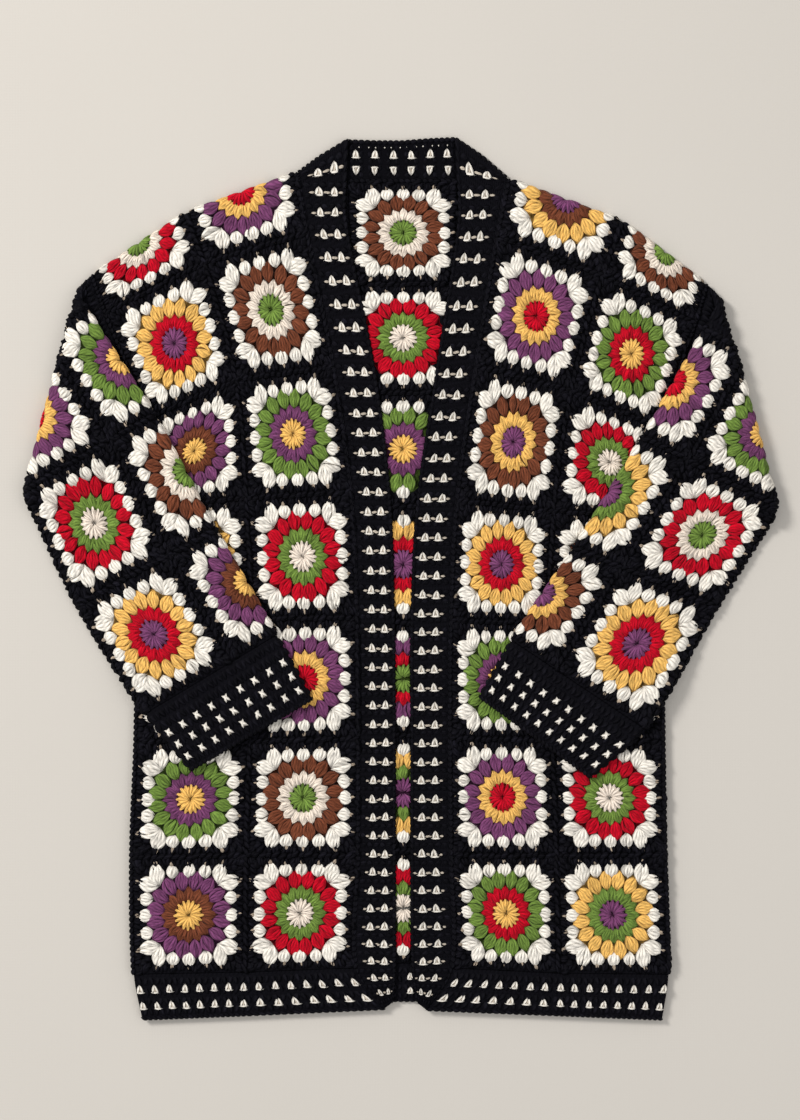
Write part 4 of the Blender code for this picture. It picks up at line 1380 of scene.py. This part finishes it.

# %% [markdown]


# %% [markdown]
# ## Floor, light and camera
#
# The garment lies on a pale floor. One large window light comes from the upper left and low enough
# to draw the relief of the stitches, and a weak wide light fills the shadows. The camera looks
# straight down, far enough away that the cloth hardly changes size with its height.

# %% Stage
FLOOR_COLOUR = (0.615, 0.582, 0.535, 1)
FLOOR_REACH = 30


def floor_material():
    """Pale linen: a fine weave from two sines and a faint cloud of tone."""
    graph = Graph("pale_linen", Roughness=0.9, Specular_IOR_Level=0.1)
    place = graph.node("ShaderNodeTexCoord", output=3)
    parts = graph.node("ShaderNodeSeparateXYZ", {}, {0: place})
    x, y = parts, Socket(graph, parts.link.node.outputs[1])
    weave = (x * 4200.0).sine() * 0.5 + (y * 4200.0).sine() * 0.5
    grey = graph.grey(graph.noise(3.0, 3.0) * 0.05 + 0.975)
    graph.feed("Base Color", graph.blend(1.0, FLOOR_COLOUR, grey, "MULTIPLY"))
    graph.feed("Normal", graph.bump(weave, 0.1 * MM, 0.3))
    return graph.material


floor_data = bpy.data.meshes.new("floor")
corners = [(x * FLOOR_REACH, y * FLOOR_REACH, 0) for x, y in ((-1, -1), (1, -1), (1, 1), (-1, 1))]
floor_data.from_pydata(corners, [], [(0, 1, 2, 3)])
floor_data.materials.append(floor_material())
floor = bpy.data.objects.new("floor", floor_data)
bpy.context.collection.objects.link(floor)


def area_light(name, place, aim, size, power, colour):
    """A round soft light at a place in the room, turned towards its aim."""
    light = bpy.data.lights.new(name, "AREA")
    light.shape, light.size, light.energy, light.color = "DISK", size, power, colour
    lamp = bpy.data.objects.new(name, light)
    bpy.context.collection.objects.link(lamp)
    lamp.location = place
    run = np.subtract(aim, place)
    lamp.rotation_euler = (math.acos(-run[2] / np.linalg.norm(run)), 0, math.atan2(-run[0], run[1]))


area_light("window", (-2.8, 2.0, 3.0), (0, 0, 0), 1.3, 150.0, (1.0, 0.98, 0.95))
area_light("fill", (1.5, -1.0, 2.4), (0, 0, 0), 2.0, 10.0, (0.95, 0.97, 1.0))
world = bpy.data.worlds.new("room")
world.use_nodes = True
world.node_tree.nodes["Background"].inputs["Color"].default_value = (1.0, 0.99, 0.98, 1)
world.node_tree.nodes["Background"].inputs["Strength"].default_value = 0.60
bpy.context.scene.world = world
bpy.context.scene.view_settings.view_transform = "Standard"

# %% Camera
CAMERA_HEIGHT = 2.6
VIEW_HEIGHT = 1.0752            # metres of floor that the picture's long side shows
camera_data = bpy.data.cameras.new("camera")
camera_data.lens = 36.0 * CAMERA_HEIGHT / VIEW_HEIGHT
camera_data.clip_start, camera_data.clip_end = 0.05, 50
camera = bpy.data.objects.new("camera", camera_data)
bpy.context.collection.objects.link(camera)
camera.location = (0.00096, 0.0187, CAMERA_HEIGHT)
bpy.context.scene.camera = camera

# %% Sizes and the end
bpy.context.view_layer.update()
triangles = sum(len(face.vertices) - 2 for piece in bpy.data.objects
                if piece.type == "MESH" and "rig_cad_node" not in piece and piece is not floor
                for face in piece.data.polygons)
print("triangles of the new pieces:", triangles)
